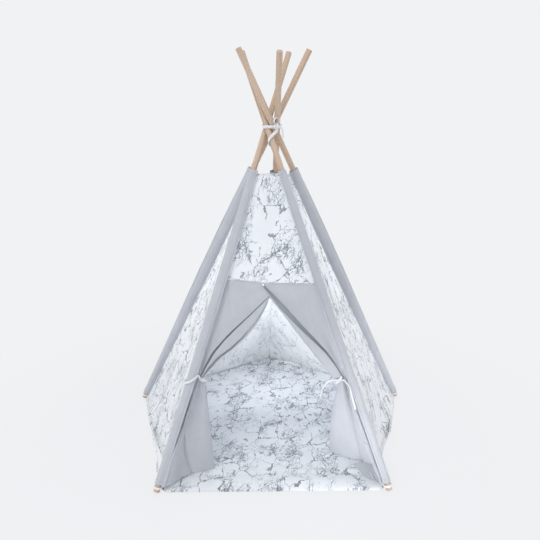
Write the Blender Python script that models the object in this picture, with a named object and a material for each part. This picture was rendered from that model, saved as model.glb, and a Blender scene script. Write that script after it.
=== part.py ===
"""A five-pole play tent with a pole pocket at each corner, cloth walls, a split door tied back and a floor mat.

Units are metres and +Z is up. The origin lies on the floor, straight below the crossing of the poles, and the
door faces -Y. Each pole leans past the tent's upright axis at the same small distance, so the five poles lie
against each other in a pinwheel where the tape lashes them.
"""

import itertools
import math

import bmesh
import bpy
from mathutils import Matrix, Vector

# Plan: where the five pole feet stand, measured from below the crossing
FRONT_HALF_WIDTH = 0.408
FRONT_REACH = 0.468
SIDE_HALF_WIDTH = 0.588
SIDE_REACH = 0.228
BACK_REACH = 0.662
CROSSING_HEIGHT = 1.229

# Poles: two turned lengths joined by a metal tube
POLE_LENGTH = 1.680
POLE_DIAMETER = 0.022
POLE_END_ROUND = 0.003
POLE_JOINT_CHAMFER = 0.0006
POLE_JOINT_AT = 0.840
FERRULE_LENGTH = 0.080
FERRULE_WALL = 0.0007
LASHED_GAP = 0.0005

# Pole pockets: flat tubes of cloth round the poles
SLEEVE_START = 0.034
SLEEVE_TOP = 1.200
SLEEVE_WIDTH = 0.052
SLEEVE_FOOT_WIDTH = 0.030
SLEEVE_FULL_WIDTH_FROM = 0.700

# Cloth walls
CLOTH = 0.0012
TOUCH = 0.0004
CORD_TOUCH = 0.0008
WALL_TOP = 1.050
HEM_AT_POLES = 0.020
HEM_MIDWAY_ABOVE_MAT = 0.0015
DOOR_HEAD = 0.684

# Door: two halves drawn back to the front poles
TIE_HEIGHT = 0.362
TIE_TAPE = 0.008
GATHER_WIDTH = 0.029
GATHER_DEPTH = 0.012
GATHER_HALF = 0.0068
FOLD_STEP = 0.006
FOLD_TUCK = 0.018
CURTAIN_PLEATS = 3
PLEAT_AT_TIE = 0.005
PLEAT_AT_FLOOR = 0.014
CURTAIN_SETBACK = 0.130
SEWN_HEAD_SHARE = 0.45
DOOR_SIDES = {
    "left": {"split_x": -0.016, "split_drop": 0.044, "band": 0.024, "curtain": 0.160, "belly": 0.0},
    "right": {"split_x": 0.002, "split_drop": 0.032, "band": 0.038, "curtain": 0.100, "belly": 0.050},
}

# Floor mat and the tape loops at its corners
MAT_THICKNESS = 0.008
MAT_INSET = 0.008
MAT_CORNER_CUT = 0.034
MAT_EDGE_ROUND = 0.002
TAPE_THICKNESS = 0.0012
CORNER_TAPE = 0.008
CORNER_LOOP_REACH = 0.036

# Lashing at the crossing
LASH_TAPE = 0.016
LASH_CLEARANCE = 0.0044
LASH_KNOT_SIZE = (0.020, 0.012, 0.018)
LASH_KNOT_TURN = math.radians(27)
LASH_LOOP_RADIUS = 0.011
LASH_TAIL_STEPS = ((0.012, 0.005, -0.010), (0.013, 0.005, -0.024), (0.016, 0.005, -0.040))
STRAND_DIAMETER = 0.003
STRAND_DROP = 0.062
STRAND_CLIMB = 0.036
STRAND_FROM = math.radians(83)
STRAND_SWEEP = math.radians(183)
STRAND_STEPS = 8

# Tie knots
TIE_KNOT_SIZE = (0.013, 0.010, 0.011)
KNOT_SHARE = 0.7
TAIL_DIAMETER = 0.003
TIE_TAILS = {
    "left": {},
    "right": {
        "inner": ((-0.018, -0.002, 0.0), (-0.034, -0.003, -0.004), (-0.052, -0.002, -0.028), (-0.062, 0.0, -0.072)),
        "outer": ((0.014, -0.014, -0.002), (0.024, -0.026, -0.014), (0.034, -0.040, -0.050), (0.044, -0.052, -0.086)),
    },
}

# How finely round things are cut
ROD_SIDES = 24
SLEEVE_SIDES = 20
TAIL_BEVEL_STEPS = 2

UP = Vector((0.0, 0.0, 1.0))
POLE_RADIUS = POLE_DIAMETER / 2
FERRULE_RADIUS = POLE_RADIUS + TOUCH + FERRULE_WALL
POLE_STANDS = {
    "front_right": (FRONT_HALF_WIDTH, -FRONT_REACH),
    "side_right": (SIDE_HALF_WIDTH, SIDE_REACH),
    "back": (0.0, BACK_REACH),
    "side_left": (-SIDE_HALF_WIDTH, SIDE_REACH),
    "front_left": (-FRONT_HALF_WIDTH, -FRONT_REACH),
}
FINISHES = {
    "pine": ((0.62, 0.44, 0.28, 1.0), 0.55, 0.0),
    "steel": ((0.62, 0.63, 0.65, 1.0), 0.35, 0.9),
    "grey_canvas": ((0.50, 0.53, 0.60, 1.0), 0.9, 0.0),
    "marble_print": ((0.80, 0.83, 0.87, 1.0), 0.9, 0.0),
    "white_tape": ((0.88, 0.88, 0.90, 1.0), 0.8, 0.0),
}


class Pole:
    """One leaning pole. Its frame runs side, out and up, with up along the pole from the floor."""

    def __init__(self, name, foot, offset):
        self.name = name
        self.foot = Vector((*foot, 0.0))
        reach = self.foot.length
        heading = math.atan2(-self.foot.y, -self.foot.x) + math.asin(offset / reach)
        self.inward = Vector((math.cos(heading), math.sin(heading), 0.0))
        self.tilt = math.atan2(math.sqrt(reach**2 - offset**2), CROSSING_HEIGHT)
        self.up = self.inward * math.sin(self.tilt) + UP * math.cos(self.tilt)
        self.side = UP.cross(self.inward)
        self.out = self.up.cross(self.side)
        self.waist_along = CROSSING_HEIGHT / math.cos(self.tilt)
        self.waist = self.point(self.waist_along)

    def point(self, along, side=0.0, out=0.0):
        """A point given by its distance up the pole and its offsets from the axis."""
        return self.foot + self.up * along + self.side * side + self.out * out

    def along_at(self, height):
        """How far up the pole its axis reaches a height above the floor."""
        return height / math.cos(self.tilt)

    def frame(self):
        """The matrix of the pole's own frame, with its origin at the crossing."""
        turn = Matrix((self.side, self.out, self.up)).transposed().to_4x4()
        return Matrix.Translation(self.waist) @ turn

    def end_rise(self):
        """How far up the axis the rounded end starts, so that its lowest point meets the floor."""
        rim = POLE_RADIUS - POLE_END_ROUND
        return (rim * math.sin(self.tilt) + POLE_END_ROUND) / math.cos(self.tilt) - POLE_END_ROUND


def axis_distance(one, other):
    """The distance between two poles' axes."""
    across = one.up.cross(other.up).normalized()
    return abs((one.foot - other.foot).dot(across))


def lashed_poles():
    """The five poles, each passing the upright axis at the distance that lets its neighbours lie against it."""
    spacing = POLE_DIAMETER + LASHED_GAP
    offset = spacing
    for _ in range(6):
        poles = {name: Pole(name, foot, offset) for name, foot in POLE_STANDS.items()}
        closest = min(axis_distance(a, b) for a, b in itertools.combinations(poles.values(), 2))
        offset *= spacing / closest
    return poles


def finish(name):
    """The material of one finish, made once."""
    found = bpy.data.materials.get(name)
    if found:
        return found
    colour, roughness, metallic = FINISHES[name]
    made = bpy.data.materials.new(name)
    made.use_nodes = True
    shader = made.node_tree.nodes["Principled BSDF"]
    shader.inputs["Base Color"].default_value = colour
    shader.inputs["Roughness"].default_value = roughness
    shader.inputs["Metallic"].default_value = metallic
    made.diffuse_color = colour
    return made


def pivot(name, frame):
    """An empty that carries one moving group, with its origin on the joint."""
    empty = bpy.data.objects.new(name, None)
    bpy.context.collection.objects.link(empty)
    empty.matrix_world = frame
    return empty


def add(name, data, finish_name, parent):
    """Links an object made in its parent's own frame."""
    piece = bpy.data.objects.new(name, data)
    bpy.context.collection.objects.link(piece)
    piece.parent = parent
    data.materials.append(finish(finish_name))
    return piece


def add_mesh(name, shape, finish_name, parent):
    """Turns a bmesh into an object."""
    shape.normal_update()
    bmesh.ops.recalc_face_normals(shape, faces=shape.faces)
    mesh = bpy.data.meshes.new(name)
    shape.to_mesh(mesh)
    shape.free()
    mesh.shade_smooth()
    mesh.set_sharp_from_angle(angle=math.radians(40))
    return add(name, mesh, finish_name, parent)


def add_cloth(name, rows, finish_name, parent, closed=False, thickness=CLOTH):
    """A sheet through rows of points, which are given in world space, thickened on both sides."""
    into = parent.matrix_world.inverted()
    shape = bmesh.new()
    grid = [[shape.verts.new(into @ point) for point in row] for row in rows]
    for low, high in zip(grid, grid[1:]):
        pairs = list(zip(low, high))
        if closed:
            pairs.append(pairs[0])
        for (a, b), (c, d) in zip(pairs, pairs[1:]):
            shape.faces.new((a, c, d, b))
    piece = add_mesh(name, shape, finish_name, parent)
    wall = piece.modifiers.new("cloth", "SOLIDIFY")
    wall.thickness = thickness
    wall.offset = 0.0
    return piece


def add_tape_loop(name, outline, height, width, lean, parent):
    """A closed band of tape on edge round an outline of (x, y) points, level with a height and leaning."""
    rows = [
        [Vector((x, y, height)) + lean * (rise / lean.z) for x, y in outline]
        for rise in (-width / 2, width / 2)
    ]
    return add_cloth(name, rows, "white_tape", parent, closed=True, thickness=TAPE_THICKNESS)


def add_knot(name, size, centre, along, face, parent):
    """A tape knot: a block with rounded edges, its width along one direction and its back to another."""
    shape = bmesh.new()
    bmesh.ops.create_cube(shape, size=1.0)
    bmesh.ops.scale(shape, vec=size, verts=shape.verts)
    bmesh.ops.bevel(
        shape, geom=shape.edges[:], offset=min(size) * 0.3, segments=2, affect="EDGES", profile=0.5
    )
    turn = Matrix((along, face, along.cross(face))).transposed().to_4x4()
    shape.transform(parent.matrix_world.inverted() @ Matrix.Translation(centre) @ turn)
    return add_mesh(name, shape, "white_tape", parent)


def smooth_route(points, spacing):
    """Points at an even spacing along a smooth curve through a route's own points."""
    ends = [points[0] * 2 - points[1], *points, points[-1] * 2 - points[-2]]
    dense = []
    for before, start, end, after in zip(ends, ends[1:], ends[2:], ends[3:]):
        steps = max(2, math.ceil((end - start).length / spacing))
        for step in range(steps):
            t = step / steps
            dense.append(
                (
                    start * 2
                    + (end - before) * t
                    + (before * 2 - start * 5 + end * 4 - after) * t**2
                    + (start * 3 - before - end * 3 + after) * t**3
                )
                / 2
            )
    return [*dense, points[-1]]


def add_cord(name, points, diameter, finish_name, parent):
    """A round cord with closed ends along a route given in world space."""
    into = parent.matrix_world.inverted()
    route = smooth_route([Vector(point) for point in points], diameter * 2.5)
    curve = bpy.data.curves.new(name, "CURVE")
    curve.dimensions = "3D"
    curve.bevel_depth = diameter / 2
    curve.bevel_resolution = TAIL_BEVEL_STEPS
    curve.use_fill_caps = True
    spline = curve.splines.new("POLY")
    spline.points.add(len(route) - 1)
    for point, place in zip(spline.points, route):
        point.co = (*(into @ place), 1.0)
    return add(name, curve, finish_name, parent)


def rod(start, end, round_start, round_end):
    """A round bar along +Z with its two rims rounded or chamfered."""
    shape = bmesh.new()
    bmesh.ops.create_cone(
        shape,
        cap_ends=True,
        segments=ROD_SIDES,
        radius1=POLE_RADIUS,
        radius2=POLE_RADIUS,
        depth=end - start,
        matrix=Matrix.Translation((0.0, 0.0, (start + end) / 2)),
    )
    middle = (start + end) / 2
    for radius, lower in ((round_start, True), (round_end, False)):
        rim = [
            edge
            for edge in shape.edges
            if all((vert.co.z < middle) == lower for vert in edge.verts) and len(edge.link_faces) == 2
        ]
        bmesh.ops.bevel(shape, geom=rim, offset=radius, segments=2, affect="EDGES", profile=0.5)
    return shape


def sleeve_half_sizes(along):
    """Half the width and depth of a pole pocket's cloth, to the middle of its thickness."""
    share = (along - SLEEVE_START) / (SLEEVE_FULL_WIDTH_FROM - SLEEVE_START)
    share = min(max(share, 0.0), 1.0)
    width = SLEEVE_FOOT_WIDTH + (SLEEVE_WIDTH - SLEEVE_FOOT_WIDTH) * share
    depth = (FERRULE_RADIUS + TOUCH) / math.cos(math.pi / SLEEVE_SIDES) + CLOTH / 2
    return max(width / 2, depth), depth


def sleeve_edge(pole, height, toward):
    """Where a wall that runs level towards another pole meets the pocket, at one height."""
    axis = pole.point(pole.along_at(height))
    level = (toward.point(toward.along_at(height)) - axis).normalized()
    side, out = level.dot(pole.side), level.dot(pole.out)
    width, depth = (half + CLOTH / 2 for half in sleeve_half_sizes(pole.along_at(height)))
    square = math.hypot(side, out)
    radius = square / math.hypot(side / width, out / depth)
    return axis + level * ((radius + CLOTH / 2 + TOUCH) / square)


def add_pole(pole, parent):
    """One pole: its lower and upper lengths, the tube that joins them and its pocket."""
    shift = Matrix.Translation((0.0, 0.0, -pole.waist_along))
    spans = {
        "lower": (pole.end_rise(), POLE_JOINT_AT - TOUCH / 2, POLE_END_ROUND, POLE_JOINT_CHAMFER),
        "upper": (POLE_JOINT_AT + TOUCH / 2, POLE_LENGTH, POLE_JOINT_CHAMFER, POLE_END_ROUND),
    }
    for part, span in spans.items():
        shape = rod(*span)
        shape.transform(shift)
        add_mesh(f"pole_{pole.name}_{part}", shape, "pine", parent)
    ferrule_radius = FERRULE_RADIUS - FERRULE_WALL / 2
    add_cloth(
        f"ferrule_{pole.name}",
        [
            ring(pole, POLE_JOINT_AT + reach, ferrule_radius, ferrule_radius, ROD_SIDES)
            for reach in (-FERRULE_LENGTH / 2, FERRULE_LENGTH / 2)
        ],
        "steel",
        parent,
        closed=True,
        thickness=FERRULE_WALL,
    )
    stops = (SLEEVE_START, (SLEEVE_START + SLEEVE_FULL_WIDTH_FROM) / 2, SLEEVE_FULL_WIDTH_FROM, SLEEVE_TOP)
    add_cloth(
        f"sleeve_{pole.name}",
        [ring(pole, along, *sleeve_half_sizes(along), SLEEVE_SIDES) for along in stops],
        "grey_canvas",
        parent,
        closed=True,
    )


def ring(pole, along, half_side, half_out, sides):
    """Points round a pole on an ellipse, in world space."""
    turns = [2 * math.pi * step / sides for step in range(sides)]
    return [pole.point(along, half_side * math.cos(turn), half_out * math.sin(turn)) for turn in turns]


def wall_rows(one, other, top, bottom_at_poles, bottom_midway, across=6, up=6):
    """A grid of points for a wall between two pockets, with a bottom edge that sags between the poles."""
    rows = []
    for step in range(up + 1):
        share = step / up
        row = []
        for place in range(across + 1):
            u = place / across
            bottom = bottom_at_poles + (bottom_midway - bottom_at_poles) * math.sin(math.pi * u)
            height = bottom + (top - bottom) * share
            row.append(sleeve_edge(one, height, other).lerp(sleeve_edge(other, height, one), u))
        rows.append(row)
    return rows


def front_point(poles, x, height, depth=0.0):
    """A point of the door's sloping plane, given by x and height, set back by a depth into the tent."""
    left, right = poles["front_left"], poles["front_right"]
    a, b = sleeve_edge(left, height, right), sleeve_edge(right, height, left)
    point = a.lerp(b, (x - a.x) / (b.x - a.x))
    inward = (right.foot - left.foot).cross(left.up).normalized()
    return point + inward * (depth if inward.y > 0 else -depth)


class DoorHalf:
    """One half of the door: the cloth above its drawn-back edge, and the curtain that hangs below its tie."""

    def __init__(self, name, poles):
        self.name = name
        self.side = 1.0 if name == "right" else -1.0
        self.poles = poles
        self.pole = poles[f"front_{name}"]
        self.other = poles["front_left" if name == "right" else "front_right"]
        sizes = DOOR_SIDES[name]
        self.fold_top = (sizes["split_x"], DOOR_HEAD - sizes["split_drop"])
        self.band = sizes["band"]
        self.width = sizes["curtain"]
        self.belly = sizes["belly"]

    def edge(self, height):
        """Where this half's outer edge meets the pocket."""
        return sleeve_edge(self.pole, height, self.other)

    def gather(self, share, height=TIE_HEIGHT):
        """A point of the gathered cloth at the tie, from the pocket at 0 to its inner side at 1."""
        outer = self.edge(height)
        inner = front_point(self.poles, outer.x - self.side * GATHER_WIDTH, height, GATHER_DEPTH)
        return outer.lerp(inner, share)

    def low(self):
        """The height at which the upper cloth stops, just above the tie."""
        return TIE_HEIGHT + TIE_TAPE / 2 + TOUCH * 2 + CLOTH

    def fold(self, t):
        """The drawn-back edge, from the top of the opening at 0 to the tie at 1, as (x, height)."""
        low_x = self.gather(0.5).x + self.side * FOLD_STEP
        return (
            self.fold_top[0] + (low_x - self.fold_top[0]) * t,
            self.fold_top[1] + (self.low() - self.fold_top[1]) * t,
        )

    def boundary(self, t):
        """The sewn edge, from the middle of the door head at 0, out to the pocket and down to the tie at 1."""
        head = DOOR_HEAD - TOUCH
        split, corner = self.fold_top[0], self.edge(head).x
        if t < SEWN_HEAD_SHARE:
            return front_point(self.poles, split + (corner - split) * t / SEWN_HEAD_SHARE, head)
        down = (t - SEWN_HEAD_SHARE) / (1 - SEWN_HEAD_SHARE)
        return self.edge(head + (self.low() - head) * down)

    def band_width(self, t):
        """The width of the turned-back hem that shows beside the drawn-back edge."""
        return self.band * (0.12 + math.sin(math.pi * (0.04 + 0.84 * t)))

    def upper_rows(self, steps=14):
        """Rows across the taut cloth, round its fold and out again along the hem."""
        rows = []
        slope = Vector((self.fold(1.0)[0] - self.fold_top[0], 0.0, self.low() - self.fold_top[1])).normalized()
        inboard = Vector((-self.side * abs(slope.z), 0.0, -abs(slope.x)))
        for step in range(steps + 1):
            t = step / steps
            x, height = self.fold(t)
            start, end = self.boundary(t), front_point(self.poles, x, height)
            row = [start.lerp(end, share) for share in (0.0, 0.35, 0.7, 1.0)]
            size = 0.4 + 0.6 * math.sin(math.pi * (0.1 + 0.75 * t))
            tuck = -FOLD_TUCK * size * min(1.0, (end - start).length / (3 * FOLD_TUCK))
            width = self.band_width(t)
            for reach, depth in (
                (FOLD_STEP * 0.3, 0.5),
                (tuck * 0.5, 1.0),
                (tuck, 1.4),
                (tuck, 1.9),
                (tuck * 0.4, 2.2),
                (width * 0.5, 2.1),
                (width, 1.8),
            ):
                place = Vector((x, 0.0, height)) + inboard * reach
                level = max(place.z, self.low())
                row.append(front_point(self.poles, place.x, level, FOLD_STEP * depth * size))
            rows.append(row)
        return rows

    def hinge(self):
        """The curtain's swing axis, a point and a direction along its seam on the pocket."""
        top, bottom = self.edge(TIE_HEIGHT), self.edge(HEM_AT_POLES)
        return bottom, (top - bottom).normalized()

    def curtain_rows(self, down=12, across=24):
        """Rows of the hanging cloth, pleated from the tie and fanned out to the floor."""
        top = TIE_HEIGHT + TIE_TAPE / 2 + TOUCH
        inner_top = self.gather(1.0, top)
        inner_floor = Vector(
            (
                self.edge(HEM_AT_POLES).x - self.side * self.width,
                CURTAIN_SETBACK - FRONT_REACH,
                MAT_THICKNESS + HEM_MIDWAY_ABOVE_MAT,
            )
        )
        rows = []
        for step in range(down + 1):
            v = step / down
            outer = self.edge(top + (HEM_AT_POLES - top) * v)
            inner = inner_top.lerp(inner_floor, v)
            inner.x -= self.side * self.belly * math.sin(math.pi * v)
            level = inner - outer
            across_way = Vector((level.y, -level.x, 0.0)).normalized() * self.side
            size = PLEAT_AT_TIE + (PLEAT_AT_FLOOR - PLEAT_AT_TIE) * math.sin(math.pi * v / 2)
            row = []
            for place in range(across + 1):
                u = place / across
                wave = math.sin(2 * math.pi * CURTAIN_PLEATS * u) * min(1.0, 2 * CURTAIN_PLEATS * u)
                row.append(outer + level * u - across_way * size * wave)
            rows.append(row)
        return rows


def hull_outline(centres, radius, steps=4):
    """A tight closed outline round circles of one radius, whose centres go round anticlockwise."""
    outline = []
    count = len(centres)
    for index, centre in enumerate(centres):
        before = centre - centres[index - 1]
        after = centres[(index + 1) % count] - centre
        start = math.atan2(-before.x, before.y)
        end = math.atan2(-after.x, after.y)
        sweep = (end - start) % (2 * math.pi)
        for step in range(steps + 1):
            turn = start + sweep * step / steps
            outline.append((centre.x + radius * math.cos(turn), centre.y + radius * math.sin(turn)))
    return outline


def teardrop(centre, point_way, radius, reach, steps=14):
    """A loop round a circle whose two sides run together at a point."""
    spread = math.acos(radius / reach)
    heading = math.atan2(point_way.y, point_way.x)
    outline = [
        (centre.x + point_way.x * reach, centre.y + point_way.y * reach),
    ]
    for step in range(steps + 1):
        turn = heading + spread + (2 * math.pi - 2 * spread) * step / steps
        outline.append((centre.x + radius * math.cos(turn), centre.y + radius * math.sin(turn)))
    return outline


def add_mat(poles, parent):
    """The floor mat: a five-sided pad with its corners cut off short of the pole feet."""
    feet = [pole.foot for pole in poles.values()]
    outline = []
    for index, foot in enumerate(feet):
        before = (feet[index - 1] - foot).normalized()
        after = (feet[(index + 1) % len(feet)] - foot).normalized()
        inward = (before + after).normalized()
        corner = foot + inward * (MAT_INSET / math.sin(before.angle(after) / 2))
        outline += [corner + before * MAT_CORNER_CUT, corner + after * MAT_CORNER_CUT]
    shape = bmesh.new()
    face = shape.faces.new([shape.verts.new(point) for point in outline])
    lifted = bmesh.ops.extrude_face_region(shape, geom=[face])["geom"]
    top = [item for item in lifted if isinstance(item, bmesh.types.BMVert)]
    bmesh.ops.translate(shape, vec=(0.0, 0.0, MAT_THICKNESS), verts=top)
    rim = [edge for edge in shape.edges if all(vert.co.z > MAT_THICKNESS / 2 for vert in edge.verts)]
    bmesh.ops.bevel(shape, geom=rim, offset=MAT_EDGE_ROUND, segments=2, affect="EDGES", profile=0.5)
    add_mesh("floor_mat", shape, "marble_print", parent)


def add_corner_loops(poles, parent):
    """A tape loop from each mat corner round its pole, just above the bare tip."""
    height = MAT_THICKNESS + TOUCH + CORNER_TAPE / 2
    for pole in poles.values():
        radius = POLE_RADIUS / math.cos(pole.tilt) + TOUCH + TAPE_THICKNESS / 2
        centre = pole.point(pole.along_at(height))
        inward = -pole.foot.normalized()
        outline = teardrop(centre, inward, radius, CORNER_LOOP_REACH)
        add_tape_loop(f"corner_loop_{pole.name}", outline, height, CORNER_TAPE, pole.up, parent)


def add_lashing(poles, parent):
    """The tape round the crossing: its band, knot, bow loop, a strand round one pole and the loose tail."""
    centres = sorted((pole.waist for pole in poles.values()), key=lambda p: math.atan2(p.y, p.x))
    outline = hull_outline(centres, POLE_RADIUS + LASH_CLEARANCE)
    add_tape_loop("lash_band", outline, CROSSING_HEIGHT, LASH_TAPE, UP, parent)
    width, depth, tall = LASH_KNOT_SIZE
    face = Vector((math.sin(LASH_KNOT_TURN), -math.cos(LASH_KNOT_TURN), 0.0))
    along = Vector((-face.y, face.x, 0.0))
    reach = POLE_RADIUS + LASH_CLEARANCE + TAPE_THICKNESS / 2 + TOUCH + depth / 2
    knot = poles["side_right"].waist + face * reach
    add_knot("lash_knot", LASH_KNOT_SIZE, knot, along, face, parent)
    ring_centre = knot + UP * (tall / 2 + LASH_LOOP_RADIUS + TAPE_THICKNESS / 2 + TOUCH)
    turns = [2 * math.pi * step / 16 for step in range(16)]
    round_ring = [along * math.cos(turn) + UP * math.sin(turn) for turn in turns]
    add_cloth(
        "lash_bow_loop",
        [
            [ring_centre + face * shift + way * LASH_LOOP_RADIUS for way in round_ring]
            for shift in (-TIE_TAPE / 2, TIE_TAPE / 2)
        ],
        "white_tape",
        parent,
        closed=True,
        thickness=TAPE_THICKNESS,
    )
    pole = poles["front_right"]
    wrap = POLE_RADIUS + TOUCH * 4 + STRAND_DIAMETER / 2
    start = knot - UP * (tall / 2 + CORD_TOUCH)
    low = pole.along_at(CROSSING_HEIGHT - STRAND_DROP)
    route = [start, start - UP * STRAND_DIAMETER * 2]
    for step in range(STRAND_STEPS + 1):
        turn = STRAND_FROM - STRAND_SWEEP * step / STRAND_STEPS
        along_pole = low + STRAND_CLIMB * (1 - step / STRAND_STEPS)
        route.append(pole.point(along_pole, wrap * math.cos(turn), wrap * math.sin(turn)))
    add_cord("lash_strand", route, STRAND_DIAMETER, "white_tape", parent)
    side = knot + along * (width / 2 + CORD_TOUCH)
    tail = [side + Vector(step) for step in LASH_TAIL_STEPS]
    tail = [side, side + along * TAIL_DIAMETER * 2, *tail]
    add_cord("lash_tail", tail, TAIL_DIAMETER, "white_tape", parent)


def tie_outline(half, round_pocket):
    """The open outline of a tie, from its front end round the gathered cloth to the seam behind it."""
    reach = GATHER_HALF + CLOTH / 2 + TOUCH + TAPE_THICKNESS / 2
    start, end = half.gather(0.0), half.gather(1.0)
    along = (end - start).normalized()
    front = Vector((along.y, -along.x, 0.0)) * (1.0 if along.x > 0 else -1.0)
    outline = []
    if round_pocket:
        width, depth = sleeve_half_sizes(half.pole.along_at(TIE_HEIGHT))
        grow = CLOTH / 2 + TOUCH * 2 + TAPE_THICKNESS / 2
        for step in range(9):
            turn = math.radians(168 - 21 * step)
            point = half.pole.point(
                half.pole.along_at(TIE_HEIGHT),
                half.side * (width + grow) * math.cos(turn),
                (depth + grow) * math.sin(turn),
            )
            outline.append(point + half.pole.up * ((TIE_HEIGHT - point.z) / half.pole.up.z))
        outline += [start.lerp(end, share) + front * reach for share in (0.6, 1.0)]
    else:
        outline += [start.lerp(end, share) + front * reach for share in (0.05, 0.5, 1.0)]
    for step in range(1, 6):
        turn = math.pi * step / 6
        outline.append(end + front * reach * math.cos(turn) + along * reach * math.sin(turn))
    outline += [start.lerp(end, share) - front * reach for share in (1.0, 0.6, 0.25)]
    return outline, front


def add_tie(half, parent, round_pocket):
    """The tape that holds one door half back: its band, its knot and any loose tails."""
    name = half.name
    outline, front = tie_outline(half, round_pocket)
    rows = [[point + half.pole.up * rise for point in outline] for rise in (-TIE_TAPE / 2, TIE_TAPE / 2)]
    add_cloth(f"tie_band_{name}", rows, "white_tape", parent, thickness=TAPE_THICKNESS)
    width, depth, tall = TIE_KNOT_SIZE
    along = half.gather(1.0) - half.gather(0.0)
    along.normalize()
    face = along.cross(half.pole.up).normalized()
    face = face if face.y < 0 else -face
    tape_front = GATHER_HALF + CLOTH / 2 + TOUCH + TAPE_THICKNESS
    tape_front *= abs(face.dot(front))
    knot = half.gather(KNOT_SHARE) + face * (tape_front + CORD_TOUCH + depth / 2)
    add_knot(f"tie_knot_{name}", TIE_KNOT_SIZE, knot, along, face, parent)
    for label, steps in TIE_TAILS[name].items():
        way = along if label == "inner" else -along
        start = knot + way * (width / 2 + CORD_TOUCH)
        points = [start, start + way * TAIL_DIAMETER * 2, *(start + Vector(step) for step in steps)]
        add_cord(f"tie_tail_{name}_{label}", points, TAIL_DIAMETER, "white_tape", parent)


def build():
    """Builds the tent."""
    for piece in list(bpy.data.objects):
        bpy.data.objects.remove(piece)
    poles = lashed_poles()
    ground = pivot("ground", Matrix.Identity(4))
    crown = pivot("crown", Matrix.Translation((0.0, 0.0, CROSSING_HEIGHT)))
    folds = {name: pivot(f"fold_{name}", pole.frame()) for name, pole in poles.items()}
    bpy.context.view_layer.update()
    for name, pole in poles.items():
        add_pole(pole, folds[name])

    hem_midway = MAT_THICKNESS + HEM_MIDWAY_ABOVE_MAT + CLOTH / 2
    names = list(poles)
    walls = {"wall_side_right": 0, "wall_back_right": 1, "wall_back_left": 2, "wall_side_left": 3}
    for wall, index in walls.items():
        pair = poles[names[index]], poles[names[index + 1]]
        rows = wall_rows(*pair, WALL_TOP, HEM_AT_POLES, hem_midway)
        add_cloth(wall, rows, "marble_print", crown)
    header = wall_rows(poles["front_left"], poles["front_right"], WALL_TOP, DOOR_HEAD, DOOR_HEAD)
    add_cloth("front_header", header, "marble_print", crown)

    for name in DOOR_SIDES:
        half = DoorHalf(name, poles)
        add_cloth(f"door_{name}", half.upper_rows(), "grey_canvas", crown)
        point, _ = half.hinge()
        swing = pivot(f"swing_{name}", Matrix.Translation(point))
        bpy.context.view_layer.update()
        add_cloth(f"curtain_{name}", half.curtain_rows(), "grey_canvas", swing)
        add_tie(half, folds[half.pole.name], round_pocket=name == "left")

    add_mat(poles, ground)
    add_corner_loops(poles, ground)
    add_lashing(poles, crown)


build()
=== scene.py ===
"""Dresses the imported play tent: its cloth, tapes, mat and wood, a studio floor, soft light and the camera.

Every measure is in metres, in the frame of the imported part: +Z is up, the door faces -Y and the origin lies
on the floor below the crossing of the poles. The routes and edges repeat the driving sizes of the part's own
source.
"""

import logging
import math
from collections.abc import Callable, Mapping, Sequence
from dataclasses import dataclass, field
from enum import Enum
from functools import cached_property, partial
from typing import Any

import bpy
import numpy as np
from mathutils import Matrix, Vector, noise


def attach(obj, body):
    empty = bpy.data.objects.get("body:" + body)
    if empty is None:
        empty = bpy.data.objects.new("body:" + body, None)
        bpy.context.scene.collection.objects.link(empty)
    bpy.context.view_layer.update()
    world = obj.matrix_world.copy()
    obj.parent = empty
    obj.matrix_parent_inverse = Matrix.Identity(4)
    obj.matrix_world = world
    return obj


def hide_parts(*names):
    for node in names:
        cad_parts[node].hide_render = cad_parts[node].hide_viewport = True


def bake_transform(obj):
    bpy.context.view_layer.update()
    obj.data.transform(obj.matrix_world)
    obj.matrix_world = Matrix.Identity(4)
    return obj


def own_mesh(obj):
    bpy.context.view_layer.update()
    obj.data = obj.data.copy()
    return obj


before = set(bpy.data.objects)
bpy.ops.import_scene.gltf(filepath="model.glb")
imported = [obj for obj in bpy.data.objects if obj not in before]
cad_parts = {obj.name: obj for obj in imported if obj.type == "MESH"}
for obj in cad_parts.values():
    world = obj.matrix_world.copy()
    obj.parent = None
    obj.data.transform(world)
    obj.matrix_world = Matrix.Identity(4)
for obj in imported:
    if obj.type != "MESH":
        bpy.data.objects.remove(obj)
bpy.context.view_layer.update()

LOG = logging.getLogger("play_tent")
Array = np.ndarray
Piece = bpy.types.Object
Material = bpy.types.Material
Socket = bpy.types.NodeSocket
UP = np.array((0.0, 0.0, 1.0))

FEET = {
    "front_right": (0.408, -0.468),
    "side_right": (0.588, 0.228),
    "back": (0.0, 0.662),
    "side_left": (-0.588, 0.228),
    "front_left": (-0.408, -0.468),
}
PINWHEEL_OFFSET = 0.0217398
CROSSING_HEIGHT = 1.229
POLE_RADIUS = 0.011
FERRULE_RADIUS = 0.0121
CLOTH = 0.0012
TOUCH = 0.0004
CORD_TOUCH = 0.0008
TAPE = 0.0011
FOLD_ANGLE = math.radians(16.5)


class Slot(Enum):
    """Names of material slots for the pieces; nothing in this script reads them."""

    POLE = "pole"
    FERRULE = "ferrule"
    GREY = "grey_canvas"
    MARBLE = "marble_canvas"
    TAPE = "white_tape"


class Held(Enum):
    """How a sheet of cloth is held."""

    HUNG = "hung"
    GATHERED = "gathered"
    STRETCHED = "stretched"


# --- finishes ---


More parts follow.
